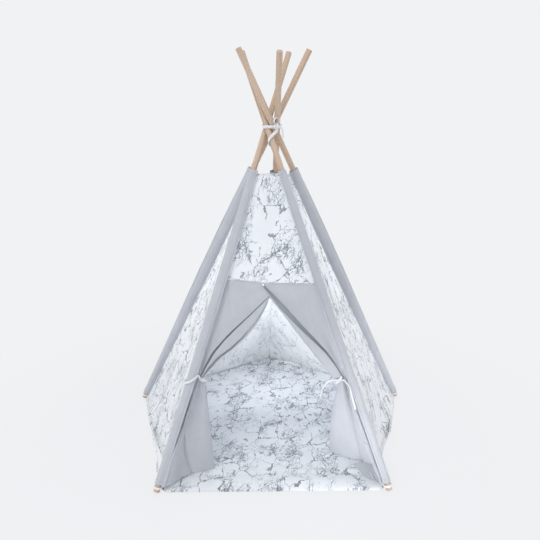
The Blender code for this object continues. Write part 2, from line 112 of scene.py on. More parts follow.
class Signal:
    """A shader value that Python's own operators work on."""

    def __init__(self, board: "Board", socket: Socket) -> None:
        """Keeps the board that the value is made on.

        Args:
            board: The material's board of nodes.
            socket: The output socket with the value.
        """
        self.board = board
        self.socket = socket

    def _math(self, operation: str, *values: Any) -> "Signal":
        """One Math node on these values."""
        return self.board.signal("ShaderNodeMath", {"operation": operation}, dict(enumerate(values)))

    def __add__(self, other: Any) -> "Signal":
        """The sum."""
        return self._math("ADD", self, other)

    __radd__ = __add__

    def __sub__(self, other: Any) -> "Signal":
        """The difference."""
        return self._math("SUBTRACT", self, other)

    def __rsub__(self, other: Any) -> "Signal":
        """The difference, from a number."""
        return self._math("SUBTRACT", other, self)

    def __mul__(self, other: Any) -> "Signal":
        """The product."""
        return self._math("MULTIPLY", self, other)

    __rmul__ = __mul__

    def wave(self) -> "Signal":
        """The sine."""
        return self._math("SINE", self)

    def size(self) -> "Signal":
        """The absolute value."""
        return self._math("ABSOLUTE", self)

    def most(self, other: Any) -> "Signal":
        """The greater of two."""
        return self._math("MAXIMUM", self, other)

    def step(self, low: Any, high: Any) -> "Signal":
        """A smooth rise from 0 at low to 1 at high.

        Args:
            low: The value, or signal, where the rise starts.
            high: The value, or signal, where it ends.

        Returns:
            The signal from 0 to 1.
        """
        settings = {"interpolation_type": "SMOOTHSTEP"}
        return self.board.signal(
            "ShaderNodeMapRange", settings, {"Value": self, "From Min": low, "From Max": high}
        )


class Board:
    """A material's nodes, made one by one."""

    def __init__(self, name: str) -> None:
        """Starts a material with a Principled surface.

        Args:
            name: The material's name.
        """
        self.material = bpy.data.materials.new(name)
        self.material.use_nodes = True
        self.tree = self.material.node_tree
        self.shader = self.tree.nodes["Principled BSDF"]

    def node(self, kind: str, settings: Mapping[str, Any], inputs: Mapping[Any, Any]) -> bpy.types.Node:
        """Makes one node: its type, then its settings, then its sockets' values or links.

        Args:
            kind: The node's type.
            settings: Its own settings. A ramp's stops are given as "stops", pairs of place and colour.
            inputs: Values or links by socket name or number.

        Returns:
            The node.
        """
        made = self.tree.nodes.new(kind)
        for key, value in settings.items():
            if key == "stops":
                ramp = made.color_ramp
                while len(ramp.elements) < len(value):
                    ramp.elements.new(1.0)
                for element, (place, colour) in zip(ramp.elements, value):
                    element.position = place
                    element.color = (*colour, 1.0)
            else:
                setattr(made, key, value)
        self.feed(made, inputs)
        return made

    def feed(self, node: bpy.types.Node, inputs: Mapping[Any, Any]) -> None:
        """Gives a node's sockets their values or links.

        Args:
            node: The node.
            inputs: Values or links by socket name or number.
        """
        for key, value in inputs.items():
            socket = node.inputs[key]
            if isinstance(value, Signal):
                self.tree.links.new(value.socket, socket)
            elif isinstance(value, Socket):
                self.tree.links.new(value, socket)
            elif isinstance(value, tuple) and len(value) == 3 and socket.type == "RGBA":
                socket.default_value = (*value, 1.0)
            else:
                socket.default_value = value

    def signal(
        self, kind: str, settings: Mapping[str, Any], inputs: Mapping[Any, Any], output: Any = 0
    ) -> Signal:
        """One node's output as a signal."""
        return Signal(self, self.node(kind, settings, inputs).outputs[output])

    def mix(self, share: Any, low: Any, high: Any) -> Socket:
        """Two colours mixed by a share from 0 to 1.

        Args:
            share: The share of the second colour.
            low: The first colour.
            high: The second colour.

        Returns:
            The mixed colour's socket.
        """
        made = self.node("ShaderNodeMix", {"data_type": "RGBA"}, {0: share, 6: low, 7: high})
        return made.outputs[2]

    def shift(self, vector: Any, scale: Sequence[float], turn: Sequence[float] = (0.0, 0.0, 0.0)) -> Any:
        """A vector turned, then scaled.

        Args:
            vector: The vector.
            scale: Its scale along each axis.
            turn: The angles that it is turned by.

        Returns:
            The new vector's socket.
        """
        settings = {"vector_type": "POINT"}
        turned = self.node("ShaderNodeMapping", settings, {"Vector": vector, "Rotation": tuple(turn)})
        made = self.node("ShaderNodeMapping", settings, {"Vector": turned.outputs[0], "Scale": tuple(scale)})
        return made.outputs[0]

    def cloud(self, vector: Any, scale: float, detail: float = 2.0, flat: bool = True) -> Signal:
        """Noise from 0 to 1.

        Args:
            vector: Where it is read.
            scale: Cells to the metre.
            detail: How many octaves.
            flat: Whether it is read on a surface's own two coordinates.

        Returns:
            The noise.
        """
        settings = {"noise_dimensions": "2D" if flat else "3D"}
        inputs = {"Vector": vector, "Scale": scale, "Detail": detail, "Roughness": 0.55}
        return self.signal("ShaderNodeTexNoise", settings, inputs)

    def warp(self, vector: Any, scale: float, reach: float, detail: float = 3.0) -> Any:
        """A vector pushed about by noise, by up to half its reach each way.

        Args:
            vector: The vector.
            scale: The noise's cells to the metre.
            reach: Twice the furthest push.
            detail: How many octaves.

        Returns:
            The pushed vector's socket.
        """
        settings = {"noise_dimensions": "2D"}
        inputs = {"Vector": vector, "Scale": scale, "Detail": detail, "Roughness": 0.6}
        colour = self.node("ShaderNodeTexNoise", settings, inputs).outputs["Color"]
        centred = self.node(
            "ShaderNodeVectorMath", {"operation": "SUBTRACT"}, {0: colour, 1: (0.5, 0.5, 0.5)}
        )
        scaled = self.node(
            "ShaderNodeVectorMath", {"operation": "SCALE"}, {0: centred.outputs[0], "Scale": reach}
        )
        made = self.node("ShaderNodeVectorMath", {"operation": "ADD"}, {0: vector, 1: scaled.outputs[0]})
        return made.outputs[0]

    def crack(self, vector: Any, scale: float) -> Signal:
        """The distance to the nearest edge between cells, in cells."""
        settings = {"feature": "DISTANCE_TO_EDGE", "voronoi_dimensions": "2D"}
        return self.signal("ShaderNodeTexVoronoi", settings, {"Vector": vector, "Scale": scale})

    def own_map(self) -> tuple[Any, Signal, Signal]:
        """The piece's own map, in metres of cloth, with its two parts.

        Returns:
            The map, and its two parts.
        """
        place = self.node("ShaderNodeUVMap", {"uv_map": "UVMap"}, {}).outputs[0]
        parts = self.node("ShaderNodeSeparateXYZ", {}, {0: place})
        return place, Signal(self, parts.outputs[0]), Signal(self, parts.outputs[1])

    def bump(self, height: Signal, strength: float, distance: float) -> Socket:
        """A normal from a height.

        Args:
            height: The height from 0 to 1.
            strength: How much of it is used.
            distance: The height's full size in metres.

        Returns:
            The normal's socket.
        """
        inputs = {"Strength": strength, "Distance": distance, "Height": height}
        return self.node("ShaderNodeBump", {}, inputs).outputs[0]

    def surface(self, **inputs: Any) -> Material:
        """Feeds the surface, and gives the finished material.

        Args:
            inputs: The surface's sockets, with _ for a space.

        Returns:
            The material.
        """
        self.feed(self.shader, {key.replace("_", " "): value for key, value in inputs.items()})
        return self.material


@dataclass(frozen=True)
class WoodFinish:
    """Smooth turned softwood with its grain along the pole."""

    name: str
    along: tuple[float, float, float]
    side: tuple[float, float, float]
    light: tuple[float, float, float] = (0.63, 0.485, 0.375)
    dark: tuple[float, float, float] = (0.46, 0.32, 0.225)
    roughness: float = 0.55

    def make(self) -> Material:
        """Makes the material.

        Returns:
            The material.
        """
        board = Board(self.name)
        place = board.node("ShaderNodeTexCoord", {}, {}).outputs["Object"]
        out = np.cross(self.along, self.side)
        ways = (self.side, tuple(out), self.along)
        parts = [
            board.signal("ShaderNodeVectorMath", {"operation": "DOT_PRODUCT"}, {0: place, 1: way}, "Value")
            for way in ways
        ]
        own = board.node("ShaderNodeCombineXYZ", {}, {0: parts[0], 1: parts[1], 2: parts[2]}).outputs[0]
        drawn = board.shift(own, (34.0, 34.0, 1.6))
        growth = board.cloud(drawn, 2.2, 3.0, flat=False)
        rings = ((parts[0] + growth * 0.006) * 1450.0).wave() * 0.5 + 0.5
        fine = board.cloud(board.shift(own, (900.0, 900.0, 14.0)), 1.0, 2.0, flat=False)
        patch = board.cloud(board.shift(own, (9.0, 9.0, 3.0)), 1.0, 2.0, flat=False)
        grain = (rings * 0.35 + fine * 0.45 + growth * 0.5).step(0.35, 1.05)
        base = board.mix(grain, self.light, self.dark)
        base = board.mix(patch.step(0.45, 0.8) * 0.35, base, (0.74, 0.60, 0.485))
        knots = board.crack(board.shift(own, (40.0, 9.0, 9.0)), 1.0)
        base = board.mix((1 - knots.step(0.0, 0.02)) * patch.step(0.5, 0.6) * 0.35, base, (0.36, 0.21, 0.11))
        height = fine * 0.6 + rings * 0.3
        return board.surface(
            Base_Color=base,
            Roughness=fine * 0.18 + self.roughness,
            Normal=board.bump(height, 0.25, 0.0004),
            Coat_Weight=0.06,
            Coat_Roughness=0.4,
        )


@dataclass(frozen=True)
class SteelFinish:
    """Drawn steel tube with fine lines along it."""

    name: str = "drawn_steel"
    colour: tuple[float, float, float] = (0.62, 0.63, 0.65)

    def make(self) -> Material:
        """Makes the material.

        Returns:
            The material.
        """
        board = Board(self.name)
        place = board.node("ShaderNodeTexCoord", {}, {}).outputs["Object"]
        lines = board.cloud(board.shift(place, (2400.0, 2400.0, 60.0)), 1.0, 2.0, flat=False)
        stain = board.cloud(place, 60.0, 3.0, flat=False)
        return board.surface(
            Base_Color=board.mix(stain * 0.4, self.colour, (0.40, 0.40, 0.41)),
            Roughness=lines * 0.2 + 0.26,
            Metallic=0.95,
            Normal=board.bump(lines, 0.2, 0.0001),
        )


@dataclass(frozen=True)
class Weave:
    """A plain weave's thread spacing, and how far it stands up."""

    pitch: float = 0.00085
    relief: float = 0.00022

    def height(self, board: Board, across: Signal, along: Signal) -> Signal:
        """The height of the threads, from 0 to 1.

        Args:
            board: The material's board.
            across: The place across the cloth.
            along: The place along it.

        Returns:
            The height.
        """
        turn = 2 * math.pi / self.pitch
        warp = (across * turn).wave()
        weft = (along * turn).wave()
        return (warp * weft) * 0.5 + 0.5


@dataclass(frozen=True)
class Glow:
    """How much light a thin cloth lets through."""

    weight: float
    reach: float = 0.004

    def inputs(self) -> dict[str, Any]:
        """The surface's sockets for it.

        Returns:
            Values by socket name.
        """
        return {
            "Subsurface_Weight": self.weight,
            "Subsurface_Radius": (1.0, 1.0, 1.0),
            "Subsurface_Scale": self.reach,
        }


@dataclass(frozen=True)
class GreyCanvasFinish:
    """Grey cotton canvas: plain weave, uneven threads and a soft mottle."""

    name: str = "grey_cotton_canvas"
    colour: tuple[float, float, float] = (0.545, 0.565, 0.608)
    shade: tuple[float, float, float] = (0.470, 0.490, 0.537)
    weave: Weave = Weave()
    glow: Glow = Glow(0.18)

    def make(self) -> Material:
        """Makes the material.

        Returns:
            The material.
        """
        board = Board(self.name)
        place, across, along = board.own_map()
        threads = self.weave.height(board, across, along)
        warp_slub = board.cloud(board.shift(place, (1400.0, 26.0, 1.0)), 1.0, 2.0)
        weft_slub = board.cloud(board.shift(place, (26.0, 1400.0, 1.0)), 1.0, 2.0)
        mottle = board.cloud(place, 16.0, 4.0)
        rubbed = board.cloud(place, 120.0, 3.0)
        slub = warp_slub * 0.5 + weft_slub * 0.5
        share = (slub * 0.9 + mottle * 0.5 + threads * 0.15).step(0.35, 1.15)
        base = board.mix(share, self.shade, self.colour)
        base = board.mix(rubbed.step(0.58, 0.8) * 0.12, base, (0.60, 0.62, 0.68))
        height = threads * 0.6 + slub * 0.5
        return board.surface(
            Base_Color=base,
            Roughness=0.86 + slub * 0.12,
            Normal=board.bump(height, 0.5, self.weave.relief),
            Sheen_Weight=0.12,
            Sheen_Roughness=0.5,
            Specular_IOR_Level=0.25,
            **self.glow.inputs(),
        )


@dataclass(frozen=True)
class MarbleCanvasFinish:
    """White cotton with a printed marble of grey cracked veins. The back of the cloth shows it paler."""

    name: str
    strength: float = 1.0
    ground: tuple[float, float, float] = (0.800, 0.825, 0.857)
    tint: tuple[float, float, float] = (0.700, 0.730, 0.775)
    vein: tuple[float, float, float] = (0.135, 0.155, 0.190)
    blotch: tuple[float, float, float] = (0.400, 0.440, 0.500)
    weave: Weave = Weave()
    glow: Glow = Glow(0.6)

    def make(self) -> Material:
        """Makes the material.

        Returns:
            The material.
        """
        board = Board(self.name)
        place, across, along = board.own_map()
        threads = self.weave.height(board, across, along)
        stretched = board.shift(place, (1.22, 0.84, 1.0), (0.0, 0.0, math.radians(24)))
        bent = board.warp(stretched, 11.0, 0.055)
        rough = board.warp(bent, 60.0, 0.016)
        region = board.cloud(stretched, 7.0, 2.0)
        other_region = board.cloud(board.shift(stretched, (1.0, 1.0, 1.0), (0.0, 0.0, 1.9)), 9.0, 2.0)
        weight = board.cloud(stretched, 24.0, 2.0)
        crumb = board.cloud(place, 210.0, 2.0)
        lines = []
        for scale, width, zone, strength in (
            (12.0, 0.028, region.step(0.36, 0.48), 1.0),
            (29.0, 0.044, other_region.step(0.47, 0.57), 0.9),
            (70.0, 0.095, (region * 0.5 + other_region * 0.5).step(0.525, 0.58), 0.8),
        ):
            gap = board.crack(rough, scale)
            wide = weight.step(0.40, 0.66) * width * 1.3 + width * 0.55
            line = (1 - gap.step(wide * 0.45, wide)) * zone * strength
            lines.append(line * crumb.step(0.30, 0.48))
        near = 1 - board.crack(bent, 11.0).step(0.02, 0.24)
        fleck_place = board.shift(rough, (1.0, 0.55, 1.0), (0.0, 0.0, 0.5))
        flecks = board.cloud(fleck_place, 165.0, 1.0)
        scattered = flecks.step(0.55, 0.61) * other_region.step(0.42, 0.53) * (near * 0.6 + 0.4)
        patches = board.cloud(rough, 24.0, 2.0).step(0.68, 0.70) * crumb.step(0.30, 0.44)
        line = lines[0].most(lines[1]).most(lines[2]).most(patches * 0.85)
        veil = board.cloud(stretched, 8.0, 3.0).step(0.45, 0.72) * 0.35
        base = board.mix(veil, self.ground, self.tint)
        base = board.mix(scattered * 0.8 * self.strength, base, self.blotch)
        base = board.mix(line * 0.92 * self.strength, base, self.vein)
        slub = board.cloud(board.shift(place, (1400.0, 26.0, 1.0)), 1.0, 2.0)
        height = threads * 0.6 + slub * 0.4
        return board.surface(
            Base_Color=base,
            Roughness=0.84 + slub * 0.12,
            Normal=board.bump(height, 0.4, self.weave.relief),
            Sheen_Weight=0.08,
            Sheen_Roughness=0.5,
            Specular_IOR_Level=0.25,
            **self.glow.inputs(),
        )


@dataclass(frozen=True)
class TapeFinish:
    """White cotton tape in a herringbone weave."""

    name: str = "white_cotton_tape"
    colour: tuple[float, float, float] = (0.84, 0.85, 0.875)
    shade: tuple[float, float, float] = (0.66, 0.675, 0.71)
    pitch: float = 0.0011

    def make(self) -> Material:
        """Makes the material.

        Returns:
            The material.
        """
        board = Board(self.name)
        place, across, along = board.own_map()
        turn = 2 * math.pi / self.pitch
        ribs = ((along + across.size()) * turn).wave() * 0.5 + 0.5
        fuzz = board.cloud(place, 900.0, 2.0)
        grime = board.cloud(place, 45.0, 3.0)
        share = (ribs * 0.35 + fuzz * 0.5 + grime * 0.3).step(0.15, 0.8)
        return board.surface(
            Base_Color=board.mix(share, self.shade, self.colour),
            Roughness=fuzz * 0.15 + 0.8,
            Normal=board.bump(ribs * 0.7 + fuzz * 0.3, 0.6, 0.0002),
            Sheen_Weight=0.1,
            Specular_IOR_Level=0.25,
        )


@dataclass(frozen=True)
class ThreadFinish:
    """Sewing thread, twisted from two plies."""

    name: str
    colour: tuple[float, float, float]

    def make(self) -> Material:
        """Makes the material.

        Returns:
            The material.
        """
        board = Board(self.name)
        place = board.node("ShaderNodeTexCoord", {}, {}).outputs["Object"]
        ply = board.cloud(place, 1500.0, 2.0, flat=False)
        dark = tuple(0.62 * part for part in self.colour)
        return board.surface(
            Base_Color=board.mix(ply.step(0.3, 0.7), dark, self.colour),
            Roughness=ply * 0.2 + 0.55,
            Normal=board.bump(ply, 0.4, 0.0002),
            Sheen_Weight=0.1,
        )


@dataclass(frozen=True)
class StudioFloorFinish:
    """A pale floor that shows the tent's shadow near it and the backdrop's colour further off."""

    name: str = "studio_floor"
    colour: tuple[float, float, float] = (0.80, 0.81, 0.83)
    backdrop: tuple[float, float, float] = (0.880, 0.888, 0.905)
    near: float = 0.75
    far: float = 1.6
    shadow: float = 0.18

    def make(self) -> Material:
        """Makes the material.

        Returns:
            The material.
        """
        board = Board(self.name)
        place = board.node("ShaderNodeTexCoord", {}, {}).outputs["Object"]
        reach = board.signal("ShaderNodeVectorMath", {"operation": "LENGTH"}, {0: place}, "Value")
        seen = board.signal("ShaderNodeLightPath", {}, {}, "Is Camera Ray")
        glow = board.node("ShaderNodeEmission", {}, {"Color": self.backdrop, "Strength": 1.0})
        board.surface(Base_Color=self.colour, Roughness=0.9, Specular_IOR_Level=0.1)
        share = (1 - self.shadow) + self.shadow * reach.step(self.near, self.far)
        mixed = board.node(
            "ShaderNodeMixShader", {}, {0: seen * share, 1: board.shader.outputs[0], 2: glow.outputs[0]}
        )
        target = next(node for node in board.tree.nodes if node.type == "OUTPUT_MATERIAL")
        board.feed(target, {"Surface": mixed.outputs[0]})
        return board.material


class Finishes:
    """The tent's finishes, each made once."""

    def __init__(self) -> None:
        """Makes them all."""
        self.grey = GreyCanvasFinish().make()
        self.marble = MarbleCanvasFinish("marble_print_canvas").make()
        self.marble_back = MarbleCanvasFinish("marble_print_back", strength=0.5).make()
        self.tape = TapeFinish().make()
        self.steel = SteelFinish().make()
        self.grey_thread = ThreadFinish("grey_thread", (0.60, 0.62, 0.66)).make()
        self.dark_thread = ThreadFinish("dark_thread", (0.26, 0.28, 0.32)).make()


# --- making meshes ---


class Bench:
    """Blender's modelling operators, with the selection kept in hand."""

    @staticmethod
    def clear() -> None:
        """Leaves nothing selected."""
        bpy.ops.object.select_all(action="DESELECT")

    @staticmethod
    def pick(piece: Piece) -> None:
        """Selects one piece alone and makes it active.

        Args:
            piece: The piece.
        """
        Bench.clear()
        piece.select_set(True)
        bpy.context.view_layer.objects.active = piece

    @staticmethod
    def apply(piece: Piece, kind: str, **settings: Any) -> None:
        """Adds one modifier and applies it.

        Args:
            piece: The piece.
            kind: The modifier's type.
            settings: Its settings.
        """
        Bench.pick(piece)
        made = piece.modifiers.new(kind.lower(), kind)
        for key, value in settings.items():
            setattr(made, key, value)
        bpy.ops.object.modifier_apply(modifier=made.name)

    @staticmethod
    def points(piece: Piece) -> Array:
        """The places of a piece's points."""
        return np.array([vertex.co for vertex in piece.data.vertices])

    @staticmethod
    def move(piece: Piece, places: Array) -> None:
        """Moves a piece's points to their places."""
        piece.data.vertices.foreach_set("co", places.ravel().astype(np.float32))
        piece.data.update()

    @staticmethod
    def corners(piece: Piece) -> Array:
        """The point at each corner of each of a piece's faces.

        Args:
            piece: The piece.

        Returns:
            One point's number to a corner.
        """
        corners = np.zeros(len(piece.data.loops), np.int32)
        piece.data.loops.foreach_get("vertex_index", corners)
        return corners

    @staticmethod
    def lay_map(piece: Piece, spots: Array) -> None:
        """Gives each of a piece's points its spot on the piece's own map.

        Args:
            piece: The piece.
            spots: One spot to a point.
        """
        layer = piece.data.uv_layers[0]
        layer.name = "UVMap"
        layer.uv.foreach_set("vector", spots[Bench.corners(piece)].astype(np.float32).ravel())

    @staticmethod
    def smooth(piece: Piece, angle: float = 40.0) -> None:
        """Shades a piece smooth, with its edges sharper than an angle kept."""
        Bench.pick(piece)
        bpy.ops.object.shade_smooth_by_angle(angle=math.radians(angle))

    @staticmethod
    def edit(piece: Piece, *steps: Callable[[], Any]) -> None:
        """Runs edit mode steps on the whole of a piece.

        Args:
            piece: The piece.
            steps: What is done, in order.
        """
        Bench.pick(piece)
        bpy.ops.object.mode_set(mode="EDIT")
        bpy.ops.mesh.select_all(action="SELECT")
        for step in steps:
            step()
        bpy.ops.object.mode_set(mode="OBJECT")

    @staticmethod
    def join(name: str, pieces: Sequence[Piece]) -> Piece:
        """Joins pieces into one object.

        Args:
            name: The joined piece's name.
            pieces: The pieces, the one that stays first.

        Returns:
            The joined piece.
        """
        Bench.pick(pieces[0])
        for piece in pieces:
            piece.select_set(True)
        bpy.ops.object.join()
        pieces[0].name = pieces[0].data.name = name
        return pieces[0]


def unit(vector: Array) -> Array:
    """Vectors made one long."""
    return vector / np.linalg.norm(vector, axis=-1, keepdims=True)


def run_along(points: Array) -> Array:
    """How far along a line of points each of them lies."""
    return np.concatenate([[0.0], np.cumsum(np.linalg.norm(np.diff(points, axis=0), axis=1))])


def full_turn(count: int) -> Array:
    """Angles evenly spaced round a closed loop."""
    return np.linspace(0.0, 2 * math.pi, count, endpoint=False)


def smoothed(values: Array, window: int) -> Array:
    """A line of values run through a smooth window, without its ends."""
    weights = np.hanning(window)
    return np.convolve(values, weights / weights.sum(), mode="valid")


def grid_normals(points: Array) -> Array:
    """The normals of a grid of points.

    Args:
        points: The grid of points.

    Returns:
        One normal to a point.
    """
    along = np.gradient(points, axis=0)
    across = np.gradient(points, axis=1)
    return unit(np.cross(across, along))


def ripples(places: Array, scale: float, seed: float, octaves: int = 2) -> Array:
    """Smooth noise, about -1 to 1.

    Args:
        places: The coordinates in metres, two or three to a point.
        scale: The size of a ripple in metres.
        seed: Moves the noise to another place.
        octaves: How many sizes of ripple.

    Returns:
        One value to a point.
    """
    shape = places.shape[:-1]
    flat = places.reshape(-1, places.shape[-1]) / scale
    if flat.shape[1] == 2:
        flat = np.column_stack([flat, np.zeros(len(flat))])
    flat = flat + np.array((seed * 3.17, seed * 1.93, seed * 7.31))
    values = [noise.fractal(Vector(place), 1.0, 2.0, octaves) for place in flat]
    return np.array(values).reshape(shape)


def spline(points: Array, count: int) -> Array:
    """Points evenly spaced along a smooth curve through others.

    Args:
        points: The points that the curve runs through.
        count: How many points to give.

    Returns:
        The new points.
    """
    ends = np.vstack([2 * points[0] - points[1], points, 2 * points[-1] - points[-2]])
    dense = []
    for before, start, end, after in zip(ends, ends[1:], ends[2:], ends[3:]):
        for t in np.linspace(0.0, 1.0, 24, endpoint=False):
            dense.append(
                (
                    start * 2
                    + (end - before) * t
                    + (before * 2 - start * 5 + end * 4 - after) * t**2
                    + (start * 3 - before - end * 3 + after) * t**3
                )
                / 2
            )
    dense = np.array([*dense, points[-1]])
    steps = run_along(dense)
    at = np.linspace(0.0, steps[-1], count)
    return np.stack([np.interp(at, steps, dense[:, part]) for part in range(dense.shape[1])], axis=1)


def eased(share: float, stops: Sequence[float], values: Sequence[float]) -> float:
    """A value that runs smoothly from stop to stop.

    Args:
        share: Where it is read.
        stops: Where the values stand.
        values: One value to a stop.

    Returns:
        The value there.
    """
    dense = np.linspace(-0.1, 1.1, 241)
    reach = 10
    raw = np.pad(np.interp(dense, stops, values), reach, mode="edge")
    return float(np.interp(share, dense, smoothed(raw, 2 * reach + 1)))


def surface_area(points: Array) -> float:
    """The area of a grid of points.

    Args:
        points: The grid of points.

    Returns:
        The area in square metres.
    """
    across = points[:-1, 1:] - points[:-1, :-1]
    along = points[1:, :-1] - points[:-1, :-1]
    return float(np.linalg.norm(np.cross(across, along), axis=-1).sum())


@dataclass
class Sheet:
    """A sheet of cloth given by a grid of points through the middle of its thickness."""

    name: str
    points: Array
    own_map: Array
    front: Material
    back: Material | None = None
    thickness: float = CLOTH * 0.8
    facing: Array | None = None
    normals: Array | None = None
    closed: bool = False
    angle: float = 55.0

    def build(self) -> Piece:
        """Makes the sheet from a plane grid, wraps it to its points and gives it its thickness.

        Returns:
            The piece.
        """
        rows, columns = self.points.shape[:2]
        Bench.clear()
        bpy.ops.mesh.primitive_grid_add(x_subdivisions=columns - 1, y_subdivisions=rows - 1, size=2.0)
        piece = bpy.context.object
        piece.name = piece.data.name = self.name
        mesh = piece.data
        start = Bench.points(piece)
        column = np.rint((start[:, 0] + 1) / 2 * (columns - 1)).astype(int)
        row = np.rint((start[:, 1] + 1) / 2 * (rows - 1)).astype(int)
        Bench.move(piece, self.points[row, column])
        Bench.lay_map(piece, self.own_map[row, column])
        if self.facing is not None:
            way = np.array([face.normal for face in mesh.polygons]).mean(axis=0)
            if way @ self.facing < 0:
                mesh.flip_normals()
        for material in (self.front, self.back or self.front):
            mesh.materials.append(material)
        if self.closed:
            Bench.edit(piece, lambda: bpy.ops.mesh.remove_doubles(threshold=1e-6))
        Bench.apply(
            piece,
            "SOLIDIFY",
            thickness=self.thickness,
            offset=0.0,
            material_offset=1,
            use_even_offset=False,
        )
        Bench.smooth(piece, self.angle)
        if self.normals is not None:
            self._set_normals(piece, self.normals[row, column])
        return piece

    def _set_normals(self, piece: Piece, rest: Array) -> None:
        """Keeps the shading of the whole cloth on a piece that is only a part of it.

        Args:
            piece: The piece.
            rest: The whole cloth's normal at each point.
        """
        mesh = piece.data
        count = len(rest)
        if self.facing is not None and (rest @ self.facing).mean() < 0:
            rest = -rest
        both = np.vstack([rest, -rest])[Bench.corners(piece)]
        for face in mesh.polygons:
            inner = sum(vertex >= count for vertex in face.vertices)
            if 0 < inner < len(face.vertices):
                for corner in face.loop_indices:
                    both[corner] = face.normal
        mesh.normals_split_custom_set([tuple(way) for way in both])


def ribbon(
    name: str,
    route: Array,
    face: Array,
    width: float | Array,
    material: Material,
    thickness: float = TAPE,
    crown: float = 0.0003,
    closed: bool = False,
) -> Piece:
    """A length of tape along a route.

    Args:
        name: The piece's name.
        route: The points down its middle.
        face: The way that its flat side looks at each point, or one way for all.
        width: Its width, or one width to a point.
        material: Its material.
        thickness: Its thickness.
        crown: How far its middle stands above its edges.
        closed: Whether its end meets its start.

    Returns:
        The piece.
    """
    if closed:
        route = np.vstack([route, route[:1]])
        face = np.vstack([face, face[:1]]) if face.ndim == 2 else face
    ways = np.gradient(route, axis=0)
    if closed:
        ways[0] = ways[-1] = route[1] - route[-2]
    ways = unit(ways)
    face = np.broadcast_to(face, route.shape)
    across = unit(np.cross(ways, face))
    level = unit(np.cross(across, ways))
    spread = np.linspace(-0.5, 0.5, 5)
    width = np.broadcast_to(width, (len(route),))
    lift = crown * (1 - (2 * spread) ** 2)
    points = (
        route[:, None]
        + across[:, None] * (width[:, None] * spread)[..., None]
        + level[:, None] * lift[None, :, None]
    )
    run = run_along(route)
    own = np.stack(
        [width[:, None] * spread[None, :], np.broadcast_to(run[:, None], (len(run), 5))], axis=-1
    )
    return Sheet(name, points, own, material, thickness=thickness, closed=closed, angle=60.0).build()


@dataclass
class StitchRow:
    """A row of stitches along a line on a piece."""

    route: Array
    face: Array
    pitch: float = 0.0044
    gap: float = 0.0012
    thread: float = 0.0009

    def places(self) -> tuple[Array, Array, Array]:
        """The middle, the direction and the face of each stitch.

        Returns:
            One middle, direction and face to a stitch.
        """
        run = run_along(self.route)
        count = max(2, int(run[-1] / self.pitch))
        ends = np.linspace(0.0, run[-1], count + 1)
        face = np.broadcast_to(self.face, self.route.shape)

        def at(values: Array, places: Array) -> Array:
            """The values at places along the row."""
            return np.stack([np.interp(places, run, values[:, part]) for part in range(3)], axis=1)

        middle = at(self.route, (ends[1:] + ends[:-1]) / 2)
        way = unit(at(self.route, ends[1:]) - at(self.route, ends[:-1]))
        return middle, way, unit(at(face, (ends[1:] + ends[:-1]) / 2))


def stitches(name: str, rows: Sequence[StitchRow], material: Material) -> Piece:
    """Rows of stitches as one piece: one stitch is shaped, then set along each row.

    Args:
        name: The piece's name.
        rows: The rows.
        material: The thread's material.

    Returns:
        The piece.
    """
    Bench.clear()
    bpy.ops.mesh.primitive_cylinder_add(vertices=6, radius=0.5, depth=1.0, rotation=(0.0, math.pi / 2, 0.0))
    bpy.ops.object.transform_apply(location=True, rotation=True, scale=True)
    seed = bpy.context.object
    Bench.edit(seed, lambda: bpy.ops.mesh.bevel(offset=0.16, segments=1, affect="EDGES"))
    base = np.array([vertex.co for vertex in seed.data.vertices])
    faces = [tuple(face.vertices) for face in seed.data.polygons]
    points, all_faces = [], []
    for row in rows:
        middle, way, face = row.places()
        side = unit(np.cross(face, way))
        long, thick = row.pitch - row.gap, row.thread
        for place, x, y, z in zip(middle, way, side, unit(np.cross(way, side))):
            start = len(points) * len(base)
            bow = 1 - (2 * base[:, :1]) ** 2
            points.append(
                place
                + base[:, :1] * long * x
                + base[:, 1:2] * thick * y
                + (base[:, 2:3] * 0.7 + bow * 0.25) * thick * z
            )
            all_faces += [tuple(index + start for index in corners) for corners in faces]
    bpy.data.objects.remove(seed)
    mesh = bpy.data.meshes.new(name)
    mesh.from_pydata([tuple(point) for point in np.vstack(points)], [], all_faces)
    mesh.materials.append(material)
    piece = bpy.data.objects.new(name, mesh)
    bpy.context.collection.objects.link(piece)
    Bench.smooth(piece, 60.0)
    return piece


# --- the tent's lines ---


ROLL = {"side_left": math.radians(76), "side_right": math.radians(-76)}


